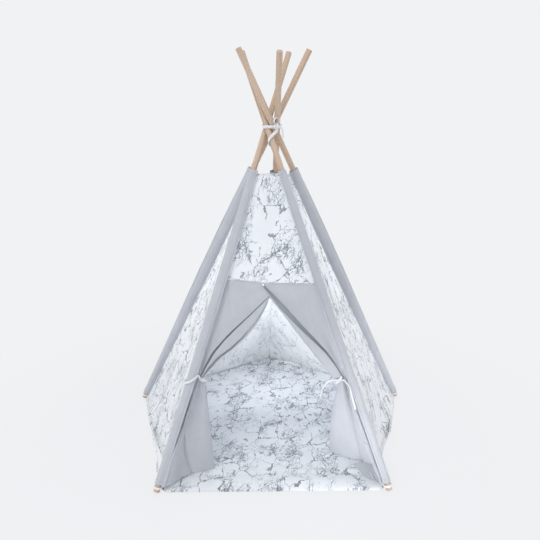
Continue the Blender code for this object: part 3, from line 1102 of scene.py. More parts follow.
@dataclass(frozen=True)
class PoleLine:
    """A leaning pole's axis. Its frame runs side, out and up, with up along the pole from the floor."""

    name: str

    @cached_property
    def foot(self) -> Array:
        """Where the axis meets the floor."""
        return np.array((*FEET[self.name], 0.0))

    @cached_property
    def tilt(self) -> float:
        """The angle from upright."""
        reach = np.linalg.norm(self.foot)
        return math.atan2(math.sqrt(reach**2 - PINWHEEL_OFFSET**2), CROSSING_HEIGHT)

    @cached_property
    def inward(self) -> Array:
        """The level way in which the pole leans.

        Returns:
            The direction.
        """
        reach = np.linalg.norm(self.foot)
        heading = math.atan2(-self.foot[1], -self.foot[0]) + math.asin(PINWHEEL_OFFSET / reach)
        return np.array((math.cos(heading), math.sin(heading), 0.0))

    def up_at(self, folded: float) -> Array:
        """The way up the pole when it has folded by an angle."""
        tilt = self.tilt - folded
        return self.inward * math.sin(tilt) + UP * math.cos(tilt)

    @cached_property
    def up(self) -> Array:
        """The way up the pole."""
        return self.up_at(0.0)

    @cached_property
    def side(self) -> Array:
        """The way across the pole, along its pocket's width. The side pockets lie turned to the front.

        Returns:
            The direction.
        """
        roll = ROLL.get(self.name, 0.0)
        level = np.cross(UP, self.inward)
        return level * math.cos(roll) + np.cross(self.up, level) * math.sin(roll)

    @cached_property
    def out(self) -> Array:
        """The way across the pole that looks outwards and up."""
        return np.cross(self.up, self.side)

    @cached_property
    def waist(self) -> Array:
        """The point at the height of the crossing."""
        return self.point(CROSSING_HEIGHT / math.cos(self.tilt))

    @property
    def body(self) -> str:
        """The name of the body that the pole belongs to."""
        return f"{self.name}_pole"

    def point(self, along: Any, side: Any = 0.0, out: Any = 0.0) -> Array:
        """Points by their distance up the pole and their offsets from its axis.

        Args:
            along: The distances up the pole.
            side: The offsets across it.
            out: The offsets outwards.

        Returns:
            The points.
        """
        parts = np.broadcast_arrays(along, side, out)
        return (
            self.foot
            + parts[0][..., None] * self.up
            + parts[1][..., None] * self.side
            + parts[2][..., None] * self.out
        )

    def along_at(self, height: Any) -> Any:
        """How far up the pole its axis reaches a height."""
        return np.asarray(height) / math.cos(self.tilt)


POLES = {name: PoleLine(name) for name in FEET}


@dataclass(frozen=True)
class PocketSize:
    """The sizes of a pole pocket."""

    start: float = 0.034
    top: float = 1.200
    width: float = 0.052
    front_width: float = 0.044
    foot_width: float = 0.030
    full_from: float = 0.700
    sides: int = 20
    back_join: float = 0.0030
    top_taper: float = 0.010
    taper_from: float = 0.95
    shifts: tuple[tuple[str, float], ...] = (("front_left", -0.0085), ("front_right", 0.0030))

    def halves(self, along: Any, name: str, side: Any) -> tuple[Array, float]:
        """Half the width, on one side of the pole, and half the depth, to the middle of the cloth.

        Args:
            along: The distances up the pole.
            name: The pole.
            side: Which side of the pole, by its sign.

        Returns:
            The half width and the half depth.
        """
        full = self.front_width if name.startswith("front") else self.width
        along = np.asarray(along)
        share = np.clip((along - self.start) / (self.full_from - self.start), 0.0, 1.0)
        taper = np.clip((along - self.taper_from) / (self.top - self.taper_from), 0.0, 1.0)
        width = self.foot_width + (full - self.foot_width) * share - self.top_taper * taper
        depth = (FERRULE_RADIUS + TOUCH) / math.cos(math.pi / self.sides) + CLOTH / 2
        half = np.maximum(width / 2, depth)
        shift = dict(self.shifts).get(name, 0.0)
        return half + np.sign(side) * np.sign(shift) * np.minimum(abs(shift), half - depth), depth


@dataclass(frozen=True)
class DrawnIn:
    """How far the hems of the side walls and the mat's edge below them lie in from the straight line."""

    place: float = 0.74
    spread: float = 0.28
    amount: float = 0.032
    corner: float = 0.06

    def pull(self, share: Array) -> Array:
        """The pull, from 0 to 1, by the share of the way from the side pole to the front pole."""
        return np.exp(-(((share - self.place) / self.spread) ** 2))


POCKET = PocketSize()
DRAWN_IN = DrawnIn()


def pocket_edge(pole: PoleLine, heights: Any, toward: PoleLine) -> Array:
    """Where a cloth that runs level towards another pole meets the pocket, at each height.

    Args:
        pole: The pole with the pocket.
        heights: One height or many.
        toward: The other pole.

    Returns:
        A point to a height.
    """
    heights = np.asarray(heights, float)
    axis = pole.point(pole.along_at(heights))
    level = unit(toward.point(toward.along_at(heights)) - axis)
    side, out = level @ pole.side, level @ pole.out
    width, depth = (half + CLOTH / 2 for half in POCKET.halves(pole.along_at(heights), pole.name, side))
    if pole.name == "back":
        inset = depth + CLOTH / 2 + TOUCH
        way = math.copysign(POCKET.back_join, float(np.mean(side)))
        return pole.point(pole.along_at(heights + inset * math.sin(pole.tilt)), way, -inset)
    if pole.name in ROLL and toward.name.startswith("front"):
        seam = (width + TOUCH) * np.sign(side)
        points = pole.point(pole.along_at(heights), seam)
        return points + pole.up * ((heights - points[..., 2]) / pole.up[2])[..., None]
    square = np.hypot(side, out)
    radius = square / np.hypot(side / width, out / depth)
    return axis + level * ((radius + CLOTH / 2 + TOUCH) / square)[..., None]


@dataclass(frozen=True)
class FoldAway:
    """How cloth gathers towards its pole as the tent folds."""

    axis: Array
    anchor: Array
    keep: float

    @classmethod
    def between(cls, pole: PoleLine, other: PoleLine) -> "FoldAway":
        """The gathering of the cloth that reaches halfway from a pole to another.

        Args:
            pole: The pole that the cloth gathers to.
            other: The pole at its other side.

        Returns:
            The gathering.
        """
        across = other.foot - pole.foot
        across = unit(across - (across @ pole.up) * pole.up)
        spread = [
            math.acos(float(pole.up_at(turn) @ other.up_at(turn))) / 2 for turn in (0.0, FOLD_ANGLE)
        ]
        return cls(across, pole.foot, math.tan(spread[1]) / math.tan(spread[0]))

    def give(self, piece: Piece) -> None:
        """Gives a piece its own copy of its mesh; the gathering itself is not set up."""
        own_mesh(piece)


class Assembly:
    """What every sub-assembly shares: its finishes and the way a finished piece is handed over."""

    def __init__(self, finishes: Finishes) -> None:
        """Keeps the finishes."""
        self.finishes = finishes

    def place(
        self,
        piece: Piece,
        body: str,
        slot: Slot,
        replaces: Sequence[str] = (),
        fold: FoldAway | None = None,
        hang: tuple[str, Array, Array] | None = None,
    ) -> Piece:
        """Sets a piece on its body, or leaves a hanging piece on no body.

        Args:
            piece: The finished piece.
            body: The body that it rides on.
            slot: Not used.
            replaces: The CAD nodes that it stands for.
            fold: How it would gather as the tent folds; it only gives the piece its own mesh.
            hang: Given for a piece that hangs below a tie; such a piece stays where it is on no body, and the
                body and points in it are not used.

        Returns:
            The piece.
        """
        if fold is not None:
            fold.give(piece)
        if hang is not None:
            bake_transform(piece)
        else:
            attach(piece, body)
        if replaces:
            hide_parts(*replaces)
        LOG.info("%s: %d faces, on %s", piece.name, len(piece.data.polygons), body)
        return piece


# --- sub-assemblies ---


@dataclass(frozen=True)
class PocketRelief:
    """How a pocket's cloth lies round its pole."""

    seam_inset: float = 0.0050
    seam_width: float = 0.0020
    seam_pinch: float = 0.75
    tautness: float = 0.62
    crease: float = 0.0021
    crease_size: float = 0.032
    crease_bias: float = 0.15
    pucker: float = 0.0007
    pucker_size: float = 0.012
    slack_from: float = 0.015
    slack_over: float = 0.011
    least_slack: float = 0.35
    hem: float = 0.014
    hem_lift: float = 0.0010
    hem_past: float = 0.0006
    hem_stitch: float = 0.0025
    around: int = 53
    up: int = 170
    measured_row: int = 90
    map_step: float = 0.37


class PoleSet(Assembly):
    """The five poles in their cloth pockets."""

    relief = PocketRelief()

    def build(self) -> None:
        """Builds the pockets and dresses the wood and the tubes."""
        for index, pole in enumerate(POLES.values()):
            wood = WoodFinish(f"pine_{pole.name}", tuple(pole.up), tuple(pole.side)).make()
            for part in ("lower", "upper"):
                self.redo(f"pole_{pole.name}_{part}", wood)
            self.redo(f"ferrule_{pole.name}", self.finishes.steel)
            self.build_pocket(pole, index + 1.0)

    def redo(self, node: str, material: Material) -> None:
        """Gives a CAD node a better material.

        Args:
            node: The CAD node's name.
            material: The new material.
        """
        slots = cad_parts[node].material_slots
        for each in slots:
            each.material = material
        if not slots:
            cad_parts[node].data.materials.append(material)

    def section(self, pole: PoleLine, along: Array, turn: Array, seed: float, grow: float = 0.0) -> Array:
        """Points of the pocket's cloth.

        Args:
            pole: The pole inside.
            along: The distances up the pole.
            turn: The angles round it.
            seed: The pocket's own creases.
            grow: How much further out, for a hem that lies on the pocket.

        Returns:
            A grid of points.
        """
        along, turn = np.meshgrid(along, turn, indexing="ij")
        half, depth = POCKET.halves(along, pole.name, np.cos(turn))
        x = half * np.cos(turn)
        relief = self.relief
        touch = depth - CLOTH * 0.3
        tangent = touch**2 / half
        flat = np.sqrt(touch**2 - tangent**2) * (half - np.abs(x)) / np.maximum(half - tangent, 1e-6)
        hull = np.where(np.abs(x) < tangent, np.sqrt(np.maximum(touch**2 - x**2, 0.0)), flat)
        rim = np.abs(np.sin(turn))
        spare = np.clip((half - relief.slack_from) / relief.slack_over, 0.0, 1.0)
        y = hull * relief.tautness + depth * rim * (1 - relief.tautness)
        near_seam = np.exp(-(((half - np.abs(x)) - relief.seam_inset) / relief.seam_width) ** 2)
        y *= 1 - relief.seam_pinch * near_seam * spare
        ring = np.stack([np.cos(turn) * 0.05, np.sin(turn) * 0.05, along * 0.55], axis=-1)
        creases = np.clip(ripples(ring, relief.crease_size, seed, 2) + relief.crease_bias, 0.0, 1.0)
        fine = np.clip(ripples(np.stack([x, along], -1), relief.pucker_size, seed + 5, 1), 0.0, 1.0)
        slack = np.clip(1 - near_seam, 0.0, 1.0) * rim**0.5
        slack = slack * (relief.least_slack + (1 - relief.least_slack) * spare)
        y += (creases * relief.crease + fine * relief.pucker) * slack + grow * rim
        return pole.point(along, x + grow * np.cos(turn), np.sign(np.sin(turn)) * y)

    def build_pocket(self, pole: PoleLine, seed: float) -> None:
        """One pocket with its hems and its seams' stitches.

        Args:
            pole: The pole inside.
            seed: The pocket's own creases.
        """
        relief = self.relief
        turn = np.linspace(0.0, 2 * math.pi, relief.around)
        along = np.linspace(POCKET.start, POCKET.top, relief.up)
        points = self.section(pole, along, turn, seed)
        round_it = run_along(points[relief.measured_row])

        def own(heights: Array, shift: float) -> Array:
            """A map in metres of cloth, at these heights."""
            return np.stack(np.broadcast_arrays(round_it[None, :], heights[:, None]), axis=-1) + shift

        grey = self.finishes.grey
        own_map = own(along, seed * relief.map_step)
        pocket = Sheet(f"pocket_{pole.name}", points, own_map, grey, closed=True).build()
        self.face_inward(pocket, pole)
        hems, rows = [], []
        for label, low, high in (
            ("top", POCKET.top - relief.hem, POCKET.top + relief.hem_past),
            ("foot", POCKET.start - relief.hem_past, POCKET.start + relief.hem),
        ):
            lines = np.linspace(low, high, 6)
            band = self.section(pole, lines, turn, seed, relief.hem_lift)
            name = f"pocket_hem_{label}_{pole.name}"
            hems.append(Sheet(name, band, own(lines, seed), grey, thickness=0.0008, closed=True).build())
        for way in (1.0, -1.0):
            half, _ = POCKET.halves(along, pole.name, way)
            inset = np.arccos(np.clip((half - relief.seam_inset) / half, -1.0, 1.0))
            turned = inset if way > 0 else math.pi - inset
            spots = zip(along[::4], turned[::4])
            line = [self.section(pole, np.array([a]), np.array([t]), seed)[0, 0] for a, t in spots]
            rows.append(StitchRow(np.array(line) + pole.out * CLOTH * 0.55, pole.out))
        sewn = relief.hem - relief.hem_stitch
        for lift in (POCKET.top - sewn, POCKET.start + sewn):
            ring_line = self.section(pole, np.array([lift]), turn, seed, relief.hem_lift + 0.0006)[0]
            rows.append(StitchRow(ring_line, unit(ring_line - pole.point(lift)), pitch=0.0038))
        thread = stitches(f"pocket_stitches_{pole.name}", rows, self.finishes.grey_thread)
        self.place(pocket, pole.body, Slot.GREY, [f"sleeve_{pole.name}"])
        for hem in hems:
            self.place(hem, pole.body, Slot.GREY)
        self.place(thread, pole.body, Slot.GREY)
        flat = (float(round_it[-1]), POCKET.top - POCKET.start)

    def face_inward(self, pocket: Piece, pole: PoleLine) -> None:
        """Gives the side of a pocket that looks into the tent the walls' cloth.

        Args:
            pocket: The pocket.
            pole: The pole inside.
        """
        pocket.data.materials.append(self.finishes.marble_back)
        for face in pocket.data.polygons:
            away = np.array(face.center) - pole.foot
            away = away - (away @ pole.up) * pole.up
            if away @ pole.out < -0.004 and away @ pole.inward > -0.002:
                face.material_index = len(pocket.data.materials) - 1


@dataclass(frozen=True)
class WallSize:
    """The edges of a wall that hangs between two pockets."""

    top: float = 1.050
    hem_at_poles: float = 0.018
    hem_midway: float = 0.0045
    lifts: tuple[tuple[float, float, float], ...] = ()
    drawn_in: str = ""
    spacing: float = 0.0062
    hem: float = 0.018
    sag: float = 0.006
    fold: float = 0.0030
    pucker: float = 0.0012


@dataclass(frozen=True)
class WallCreases:
    """The creases of a wall: lengths in metres of cloth, and shares of the wall's height or depth."""

    held_width: float = 0.05
    held_power: float = 0.8
    floor_share: float = 0.10
    sag_ease: float = 0.45
    foot_lift: float = 0.007
    foot_width: float = 0.06
    broad_size: float = 0.17
    upright_size: float = 0.050
    slanted_size: float = 0.07
    broad_share: float = 0.9
    upright_share: float = 0.55
    slanted_share: float = 0.4
    floor_fold: float = 0.3
    pucker_width: float = 0.028
    pucker_start: float = 0.006
    pucker_length: float = 0.037
    pucker_lean: float = 60.0
    pucker_stray: float = 4.0
    patch_size: float = 0.09


class WallPanel(Assembly):
    """One wall between two pockets: a curved, creased cloth in two halves, each on its own pole's body."""

    map_step = 1.7
    drawn_height = 0.13
    creases = WallCreases()
    broad_stretch = np.array((1.0, 0.35))
    upright_stretch = np.array((1.0, 0.16))
    slant = np.array(((1.0, 0.55), (-0.35, 0.6)))

    def __init__(
        self, finishes: Finishes, name: str, one: str, other: str, size: WallSize, seed: float
    ) -> None:
        """Sets the wall between its poles.

        Args:
            finishes: The finishes.
            name: The CAD node's name.
            one: The pole on its left, seen from outside.
            other: The pole on its right.
            size: Its edges.
            seed: Its own creases and its place on the print.
        """
        super().__init__(finishes)
        self.name = name
        self.one, self.other = POLES[one], POLES[other]
        self.size = size
        self.seed = seed
        self.is_header = name == "front_header"
        outward = np.cross(self.other.foot - self.one.foot, self.one.up)
        middle = self.one.foot + self.other.foot
        self.outward = unit(outward if outward @ middle > 0 else -outward)

    def bottom(self, share: Array) -> Array:
        """The height of the lower edge.

        Args:
            share: The shares of the way across.

        Returns:
            One height to a share.
        """
        size = self.size
        if self.is_header:
            start = pocket_edge(self.one, DOOR_HEAD, self.other)
            end = pocket_edge(self.other, DOOR_HEAD, self.one)
            return head_height(start[0] + (end[0] - start[0]) * share)
        height = size.hem_at_poles + (size.hem_midway - size.hem_at_poles) * np.sin(math.pi * share) ** 0.5
        for place, width, lift in size.lifts:
            height = height + lift * np.exp(-(((share - place) / width) ** 2))
        return height

    def taut(self, rise: Array, share: Array) -> tuple[Array, Array]:
        """Points of the wall pulled flat.

        Args:
            rise: The shares of the way up.
            share: The shares of the way across.

        Returns:
            The grid of points, and its map in metres of cloth.
        """
        rise, share = np.meshgrid(rise, share, indexing="ij")
        low = self.bottom(share)
        height = low + (self.size.top - low) * rise
        start = pocket_edge(self.one, height, self.other)
        end = pocket_edge(self.other, height, self.one)
        points = start + (end - start) * share[..., None]
        width = np.linalg.norm(end - start, axis=-1)
        slope = math.cos(math.asin(min(1.0, abs(self.outward[2]))))
        own = np.stack([(share - 0.5) * width, height / slope], axis=-1)
        return points, own

    def crease(self, rise: Array, share: Array, own: Array) -> Array:
        """How far the cloth stands out at each point.

        Args:
            rise: The shares of the way up.
            share: The shares of the way across.
            own: The grid's map.

        Returns:
            A grid of offsets.
        """
        size, creases = self.size, self.creases
        rise, share = np.meshgrid(rise, share, indexing="ij")
        width = np.abs(own[:, :1, 0]) * 2
        from_one = share * width
        from_other = (1 - share) * width
        edge = np.minimum(from_one, from_other)
        free = np.clip(edge / creases.held_width, 0.0, 1.0) ** creases.held_power
        near_floor = 1.0 if self.is_header else np.clip(rise / creases.floor_share, 0.0, 1.0)
        offset = -size.sag * np.sin(math.pi * share) * (1 - creases.sag_ease * rise) * near_floor
        offset += creases.foot_lift * (1 - near_floor) * np.clip(edge / creases.foot_width, 0.0, 1.0)
        if size.drawn_in:
            from_side = 1 - share if size.drawn_in == "one" else share
            pull = DRAWN_IN.pull(from_side) * np.exp(-((rise / self.drawn_height) ** 2))
            offset -= DRAWN_IN.amount * pull * np.clip(edge / DRAWN_IN.corner, 0.0, 1.0)
        seeds = own + self.seed
        broad = ripples(seeds * self.broad_stretch, creases.broad_size, self.seed, 2)
        upright = ripples(seeds * self.upright_stretch, creases.upright_size, self.seed + 3, 2)
        slanted = ripples(seeds @ self.slant, creases.slanted_size, self.seed + 9, 2)
        folds = creases.broad_share * broad + creases.upright_share * upright
        folds += creases.slanted_share * slanted
        offset += free * size.fold * folds * (creases.floor_fold + (1 - creases.floor_fold) * near_floor)
        draw = np.exp(-edge / creases.pucker_width) * np.clip(edge / creases.pucker_start, 0.0, 1.0)
        turns = own[..., 1] * 2 * math.pi / creases.pucker_length
        beat = np.sin(turns + edge * creases.pucker_lean + creases.pucker_stray * broad)
        patches = ripples(seeds, creases.patch_size, self.seed + 6, 1)
        offset += draw * size.pucker * beat * (0.5 + 0.5 * patches)
        return offset

    def cloth(self, rise: Array, share: Array, lift: float = 0.0) -> tuple[Array, Array]:
        """The creased cloth's points and map.

        Args:
            rise: The shares of the way up.
            share: The shares of the way across.
            lift: How much further out, for a hem.

        Returns:
            The grid of points, and its map in metres of cloth.
        """
        points, own = self.taut(rise, share)
        offset = self.crease(rise, share, own) + lift
        return points + offset[..., None] * self.outward, own

    def build(self) -> None:
        """Builds both halves with their hems and stitches."""
        size = self.size
        points, _ = self.taut(np.array((0.0, 1.0)), np.array((0.0, 1.0)))
        width = np.linalg.norm(points[0, 1] - points[0, 0])
        tall = np.linalg.norm(points[1, 0] - points[0, 0])
        half_columns = int(width / 2 / size.spacing)
        share = np.linspace(0.0, 1.0, 2 * half_columns + 1)
        rise = np.linspace(0.0, 1.0, int(tall / size.spacing) + 1)
        flat_points, own = self.taut(rise, share)
        creased = flat_points + self.crease(rise, share, own)[..., None] * self.outward
        normals = grid_normals(creased)
        own = own + self.seed * self.map_step
        for label, pole, other, columns in (
            ("a", self.one, self.other, slice(0, half_columns + 1)),
            ("b", self.other, self.one, slice(half_columns, 2 * half_columns + 1)),
        ):
            fold = FoldAway.between(pole, other)
            piece = Sheet(
                f"{self.name}_{label}", creased[:, columns], own[:, columns],
                self.finishes.marble, self.finishes.marble_back, facing=self.outward,
                normals=normals[:, columns],
            ).build()
            extras = self.trim(label, share[columns], tall)
            self.place(piece, pole.body, Slot.MARBLE, [self.name], fold)
            for extra in extras:
                self.place(extra, pole.body, Slot.MARBLE, (), fold)
            cut = flat_points[:, columns]
            reach = np.linalg.norm(cut[0, -1] - cut[0, 0])
            surface_area(cut)

    def trim(self, label: str, share: Array, tall: float) -> list[Piece]:
        """The turned hems at the top and the bottom of a half, with their stitches.

        Args:
            label: Which half.
            share: The half's shares of the way across.
            tall: The wall's height along its slope.

        Returns:
            The hems and the stitches.
        """
        made, rows = [], []
        hem = self.size.hem / tall
        sewn_at = hem * 0.86
        for edge, low, high, sewn in (("foot", 0.0, hem, sewn_at), ("top", 1 - hem, 1.0, 1 - sewn_at)):
            if not self.is_header:
                points, own = self.cloth(np.linspace(low, high, 5), share, 0.0009)
                name, own = f"{self.name}_{label}_hem_{edge}", own + self.seed * self.map_step
                marble = self.finishes.marble
                piece = Sheet(name, points, own, marble, facing=self.outward, thickness=0.0007).build()
                made.append(piece)
            line, _ = self.cloth(np.array([sewn, sewn]), share, 0.0015)
            if edge == "top" or not self.is_header:
                rows.append(StitchRow(line[0], self.outward, pitch=0.0048))
        thread = self.finishes.dark_thread if self.is_header else self.finishes.grey_thread
        made.append(stitches(f"{self.name}_{label}_stitches", rows, thread))
        return made


@dataclass(frozen=True)
class Wave:
    """Even folds in a row: how far they stand out, and how many there are to the whole row."""

    height: float
    count: float

    def at(self, share: Any, phase: Any = 0.0) -> Any:
        """How far the cloth stands out at each share of the way along the row."""
        return self.height * np.sin(2 * math.pi * self.count * share + phase)


@dataclass(frozen=True)
class Drape:
    """How a curtain hangs: how far it turns in behind its pocket, and where its one long fold runs."""

    depth: float
    deepest: float
    corner: float
    crease: float
    crease_step: float
    crease_from: float
    slot: tuple[float, float, float, float, float, float]
    lean: float = 0.0
    flush: float = 0.0
    crease_width: float = 0.035
    crease_over: float = 0.12
    least_depth: float = 0.004

    def set_back(self, v: float) -> float:
        """How far behind the pocket the cloth turns, at a share of the way down.

        Args:
            v: The share of the way down.

        Returns:
            The depth in metres.
        """
        if self.deepest < 1.0:
            return self.depth * math.sin(math.pi * min(1.0, v / (2 * self.deepest))) + self.least_depth
        return self.depth * v**1.15 + self.least_depth

    def long_fold(self, u: Array, v: float) -> Array:
        """How far the long fold draws the cloth in at a level, before its sign.

        Args:
            u: The shares of the way across.
            v: The share of the way down.

        Returns:
            One value to a share.
        """
        away = np.abs(u - self.crease + self.lean * (1 - v))
        begun = min(1.0, max(0.0, (v - self.crease_from) / self.crease_over))
        return self.crease_step * np.exp(-away / self.crease_width) * begun


@dataclass(frozen=True)
class CurtainFolds:
    """The folds that both curtains have. A reach is the share of the way in which a fold dies away."""

    gathers: Wave = Wave(0.0042, 4.5)
    gather_reach: float = 0.15
    broad: Wave = Wave(1.0, 1.35)
    broad_start: float = 0.12
    broad_top: float = 0.0035
    broad_growth: float = 0.006
    fan: Wave = Wave(0.0030, 2.5)
    fan_reach: float = 0.5
    hem: Wave = Wave(0.0018, 3.2)
    drift: float = 0.0022
    drift_size: float = 0.11
    second_place: float = 0.50
    second_lean: float = 0.02
    second_width: float = 0.025
    second_step: float = 0.012
    second_reach: float = 0.25
    swell_from: float = 0.3

    def offset(self, u: Array, v: float, seed: float) -> Array:
        """How far the cloth stands out at a level, without its long fold.

        Args:
            u: The shares of the way from the pocket to the inner edge.
            v: The share of the way down.
            seed: The curtain's own drift.

        Returns:
            One value to a share.
        """
        drift = ripples(np.stack([u * 0.3, np.full_like(u, v * 0.10)], -1), self.drift_size, seed, 2)
        gathers = self.gathers.at(u, 0.8 * math.sin(9 * v)) * math.exp(-v / self.gather_reach)
        broad = self.broad.at(u, 0.9 * drift - 2 * math.pi * self.broad_start)
        broad = broad * (self.broad_top + self.broad_growth * v) * min(1.0, v / 0.2)
        fan = self.fan.at(u, 1.0) * math.exp(-v / self.fan_reach) * min(1.0, v / 0.1)
        hem = self.hem.at(u, 2.0 * drift) * v**6
        return gathers + broad + fan + hem + self.drift * drift

    def second(self, u: Array, v: float) -> Array:
        """How far the right curtain's second fold draws it in at a level."""
        away = np.abs(u - self.second_place - self.second_lean * v) / self.second_width
        return self.second_step * math.exp(-v / self.second_reach) * np.exp(-away)


@dataclass(frozen=True)
class TautFolds:
    """The taut cloth's soft shapes: rays that run out from the tie, a mottle and a slight hollow."""

    ray: float = 0.0052
    rays: float = 11.0
    ray_turn: float = 2.2
    ray_reach: float = 0.20
    mottle: float = 0.0048
    mottle_size: float = 0.075
    hollow: float = 0.003
    fade: float = 0.04

    def offset(self, cloth: Array, tie: Array, side: float, shares: Array) -> Array:
        """How far the cloth stands out along one of its rows.

        Args:
            cloth: The row's points, pulled flat.
            tie: Where the cloth is gathered.
            side: The door half's side, -1 or 1.
            shares: The shares of the way from the sewn edge to the fold.

        Returns:
            One value to a point.
        """
        away = cloth - tie
        angle = np.arctan2(away[:, 2], side * away[:, 0])
        distance = np.linalg.norm(away, axis=1)
        free = np.sin(math.pi * shares) ** 0.7
        rays = self.ray * np.sin(angle * self.rays + self.ray_turn * side)
        rays = rays * np.exp(-distance / self.ray_reach)
        soft = self.mottle * ripples(cloth[:, [0, 2]], self.mottle_size, 4.0 + side, 2)
        return (rays + soft - self.hollow * free) * free * np.clip(distance / self.fade, 0.0, 1.0)


@dataclass(frozen=True)
class KnotShape:
    """A drawn knot of tape: a three-lobed tangle with a bar over it."""

    lobes: tuple[float, float, float]
    tape: float
    bar: tuple[float, float]
    bar_tape: float
    steps: tuple[int, int]

    def build(
        self,
        name: str,
        centre: Array,
        axes: tuple[Array, Array, Array],
        slant: Array,
        tape: Material,
    ) -> list[Piece]:
        """Makes the tangle and the bar.

        Args:
            name: The knot's name.
            centre: Its middle.
            axes: The ways along it, up it and out of its face.
            slant: The way that the bar runs.
            tape: The tape's material.

        Returns:
            The two pieces.
        """
        along, lift, look = axes
        turn = full_turn(self.steps[0])
        x = (np.sin(turn) + 2 * np.sin(2 * turn)) / 3 * self.lobes[0]
        z = (np.cos(turn) - 2 * np.cos(2 * turn)) / 3 * self.lobes[1]
        y = -np.sin(3 * turn) * self.lobes[2]
        route = centre + x[:, None] * along + z[:, None] * lift + y[:, None] * look
        ways = unit(unit(route - centre) * 0.5 + look * 0.8)
        tangle = ribbon(f"{name}_loop", route, ways, self.tape, tape, closed=True)
        turn = full_turn(self.steps[1])
        x, z = np.cos(turn) * self.bar[0], np.sin(turn) * self.bar[1]
        ring = centre + x[:, None] * look + z[:, None] * slant
        return [tangle, ribbon(f"{name}_bar", ring, unit(ring - centre), self.bar_tape, tape, closed=True)]


@dataclass(frozen=True)
class TieShape:
    """The tie's tapes, and how its tape lies round a pocket."""

    tape: float = 0.0072
    second_tape: float = 0.0058
    second_out: float = 0.0012
    second_up: float = 0.0022
    waver: float = 0.0012
    steps: int = 64
    wrap_from: float = 168.0
    wrap_step: float = 21.0
    wrap_count: int = 9
    wrap_room: float = 0.0022
    knot: KnotShape = KnotShape((0.0062, 0.0052, 0.0026), 0.0056, (0.0046, 0.0056), 0.0062, (72, 28))
    knot_width: float = 0.013
    knot_depth: float = 0.010
    knot_place: float = 0.7
    ear_tape: float = 0.0066
    ear_out: float = 0.0035
    ear: tuple[tuple[float, float, float], ...] = (
        (0.0135, -0.0115, 0.001),
        (0.007, -0.005, 0.004),
        (-0.002, 0.003, 0.0055),
        (-0.010, 0.0155, 0.003),
    )
    tail_steps: int = 60
    tail_start: float = 0.003
    tail_twist: float = 0.9
    tail_width: float = 0.0038
    tail_flare: float = 0.0050
    tail_diameter: float = 0.0055


@dataclass(frozen=True)
class DoorSize:
    """The sizes of one half of the door. The bow and the band have a value to each of EDGE_STOPS."""

    head_x: float
    split: tuple[float, float]
    bow: tuple[float, ...]
    band: tuple[float, ...]
    slots: tuple[float, ...]
    curtain: float
    set_back: float
    drape: Drape
    belly: float = 0.0
    swell: float = 0.0
    ties: Mapping[str, Sequence[tuple[float, float, float]]] = field(default_factory=dict)
    round_pocket: bool = False
    tie_rise: tuple[Sequence[float], Sequence[float]] = ((0.0, 1.0), (0.0, 0.0))


DOOR_SIZES = {
    "left": DoorSize(
        head_x=-0.037,
        split=(-0.015, 0.640),
        bow=(0.0, 0.002, 0.009, 0.0185, 0.0225, 0.0225, 0.012, 0.0),
        band=(0.004, 0.018, 0.043, 0.055, 0.051, 0.040, 0.027, 0.014),
        slots=(0.0008, 0.0025, 0.0050, 0.0075, 0.0035),
        curtain=0.165,
        set_back=0.135,
        round_pocket=True,
        drape=Drape(
            depth=0.034,
            deepest=0.33,
            corner=0.13,
            crease=0.72,
            crease_step=0.013,
            crease_from=0.50,
            slot=(0.001, 0.004, 0.008, 0.004, 0.0, 0.0),
            lean=0.60,
            flush=0.010,
        ),
        tie_rise=(
            (0.0, 0.12, 0.25, 0.42, 0.50, 0.58, 1.0),
            (-0.010, -0.009, -0.001, 0.023, 0.012, 0.0, -0.002),
        ),
    ),
    "right": DoorSize(
        head_x=-0.038,
        split=(-0.028, 0.6785),
        bow=(0.0, 0.003, 0.009, 0.011, 0.014, 0.017, 0.011, 0.0),
        band=(0.009, 0.014, 0.026, 0.034, 0.040, 0.046, 0.044, 0.034),
        slots=(0.0060, 0.0180, 0.0130, 0.0070, 0.0035),
        curtain=0.150,
        set_back=0.243,
        belly=0.010,
        swell=0.030,
        ties={
            "inner": (
                (-0.018, -0.002, 0.0),
                (-0.034, -0.003, -0.004),
                (-0.052, -0.002, -0.028),
                (-0.062, 0.0, -0.072),
            ),
            "outer": (
                (0.014, -0.014, -0.002),
                (0.024, -0.026, -0.014),
                (0.034, -0.040, -0.050),
                (0.044, -0.052, -0.086),
            ),
        },
        drape=Drape(
            depth=0.105,
            deepest=1.0,
            corner=0.22,
            crease=0.62,
            crease_step=0.022,
            crease_from=0.02,
            slot=(0.001, 0.007, 0.013, 0.016, 0.013, 0.004),
        ),
    ),
}
EDGE_STOPS = (0.0, 0.05, 0.25, 0.45, 0.60, 0.75, 0.88, 1.0)
SLOT_STOPS = (0.0, 0.25, 0.5, 0.8, 1.0)
SECOND_FOLD_STOPS = (0.0, 0.60, 0.75, 0.88)
SECOND_FOLD_PLACES = (0.72, 0.70, 0.50, 0.28)
SECOND_FOLD_GAP_STOPS = (0.0, 0.5, 0.7, 0.85, 1.0)
SECOND_FOLD_GAPS = (0.10, 0.08, 0.16, 0.40, 0.20)
RIGHT_BAND = ((0.5, 0.8), (0.86, 0.95), (0.89, 1.35), (0.93, 1.0), (1.0, 1.0))
CURTAIN_SLOT_STOPS = (0.0, 0.08, 0.35, 0.62, 0.75, 1.0)
DOOR_HEAD = 0.684
HEAD_LOW = 0.6805
HEAD_CLIMB = 0.0125
HEAD_TURN = 0.03
HEAD_REACH = 0.126
HEAD_OVERLAP = 0.004
TIE_HEIGHT = 0.362
TIE_TAPE = 0.008
GATHER_WIDTH = 0.029
GATHER_DEPTH = 0.012
GATHER_HALF = 0.0068
FOLD_STEP = 0.0075
FOLD_TUCK = 0.022
SEWN_HEAD_SHARE = 0.45
HEM_AT_POLES = 0.023
MAT_TOP = 0.008
HEM_ABOVE_MAT = 0.0030
FRONT_REACH = 0.468
CURTAIN_HANG = 0.085
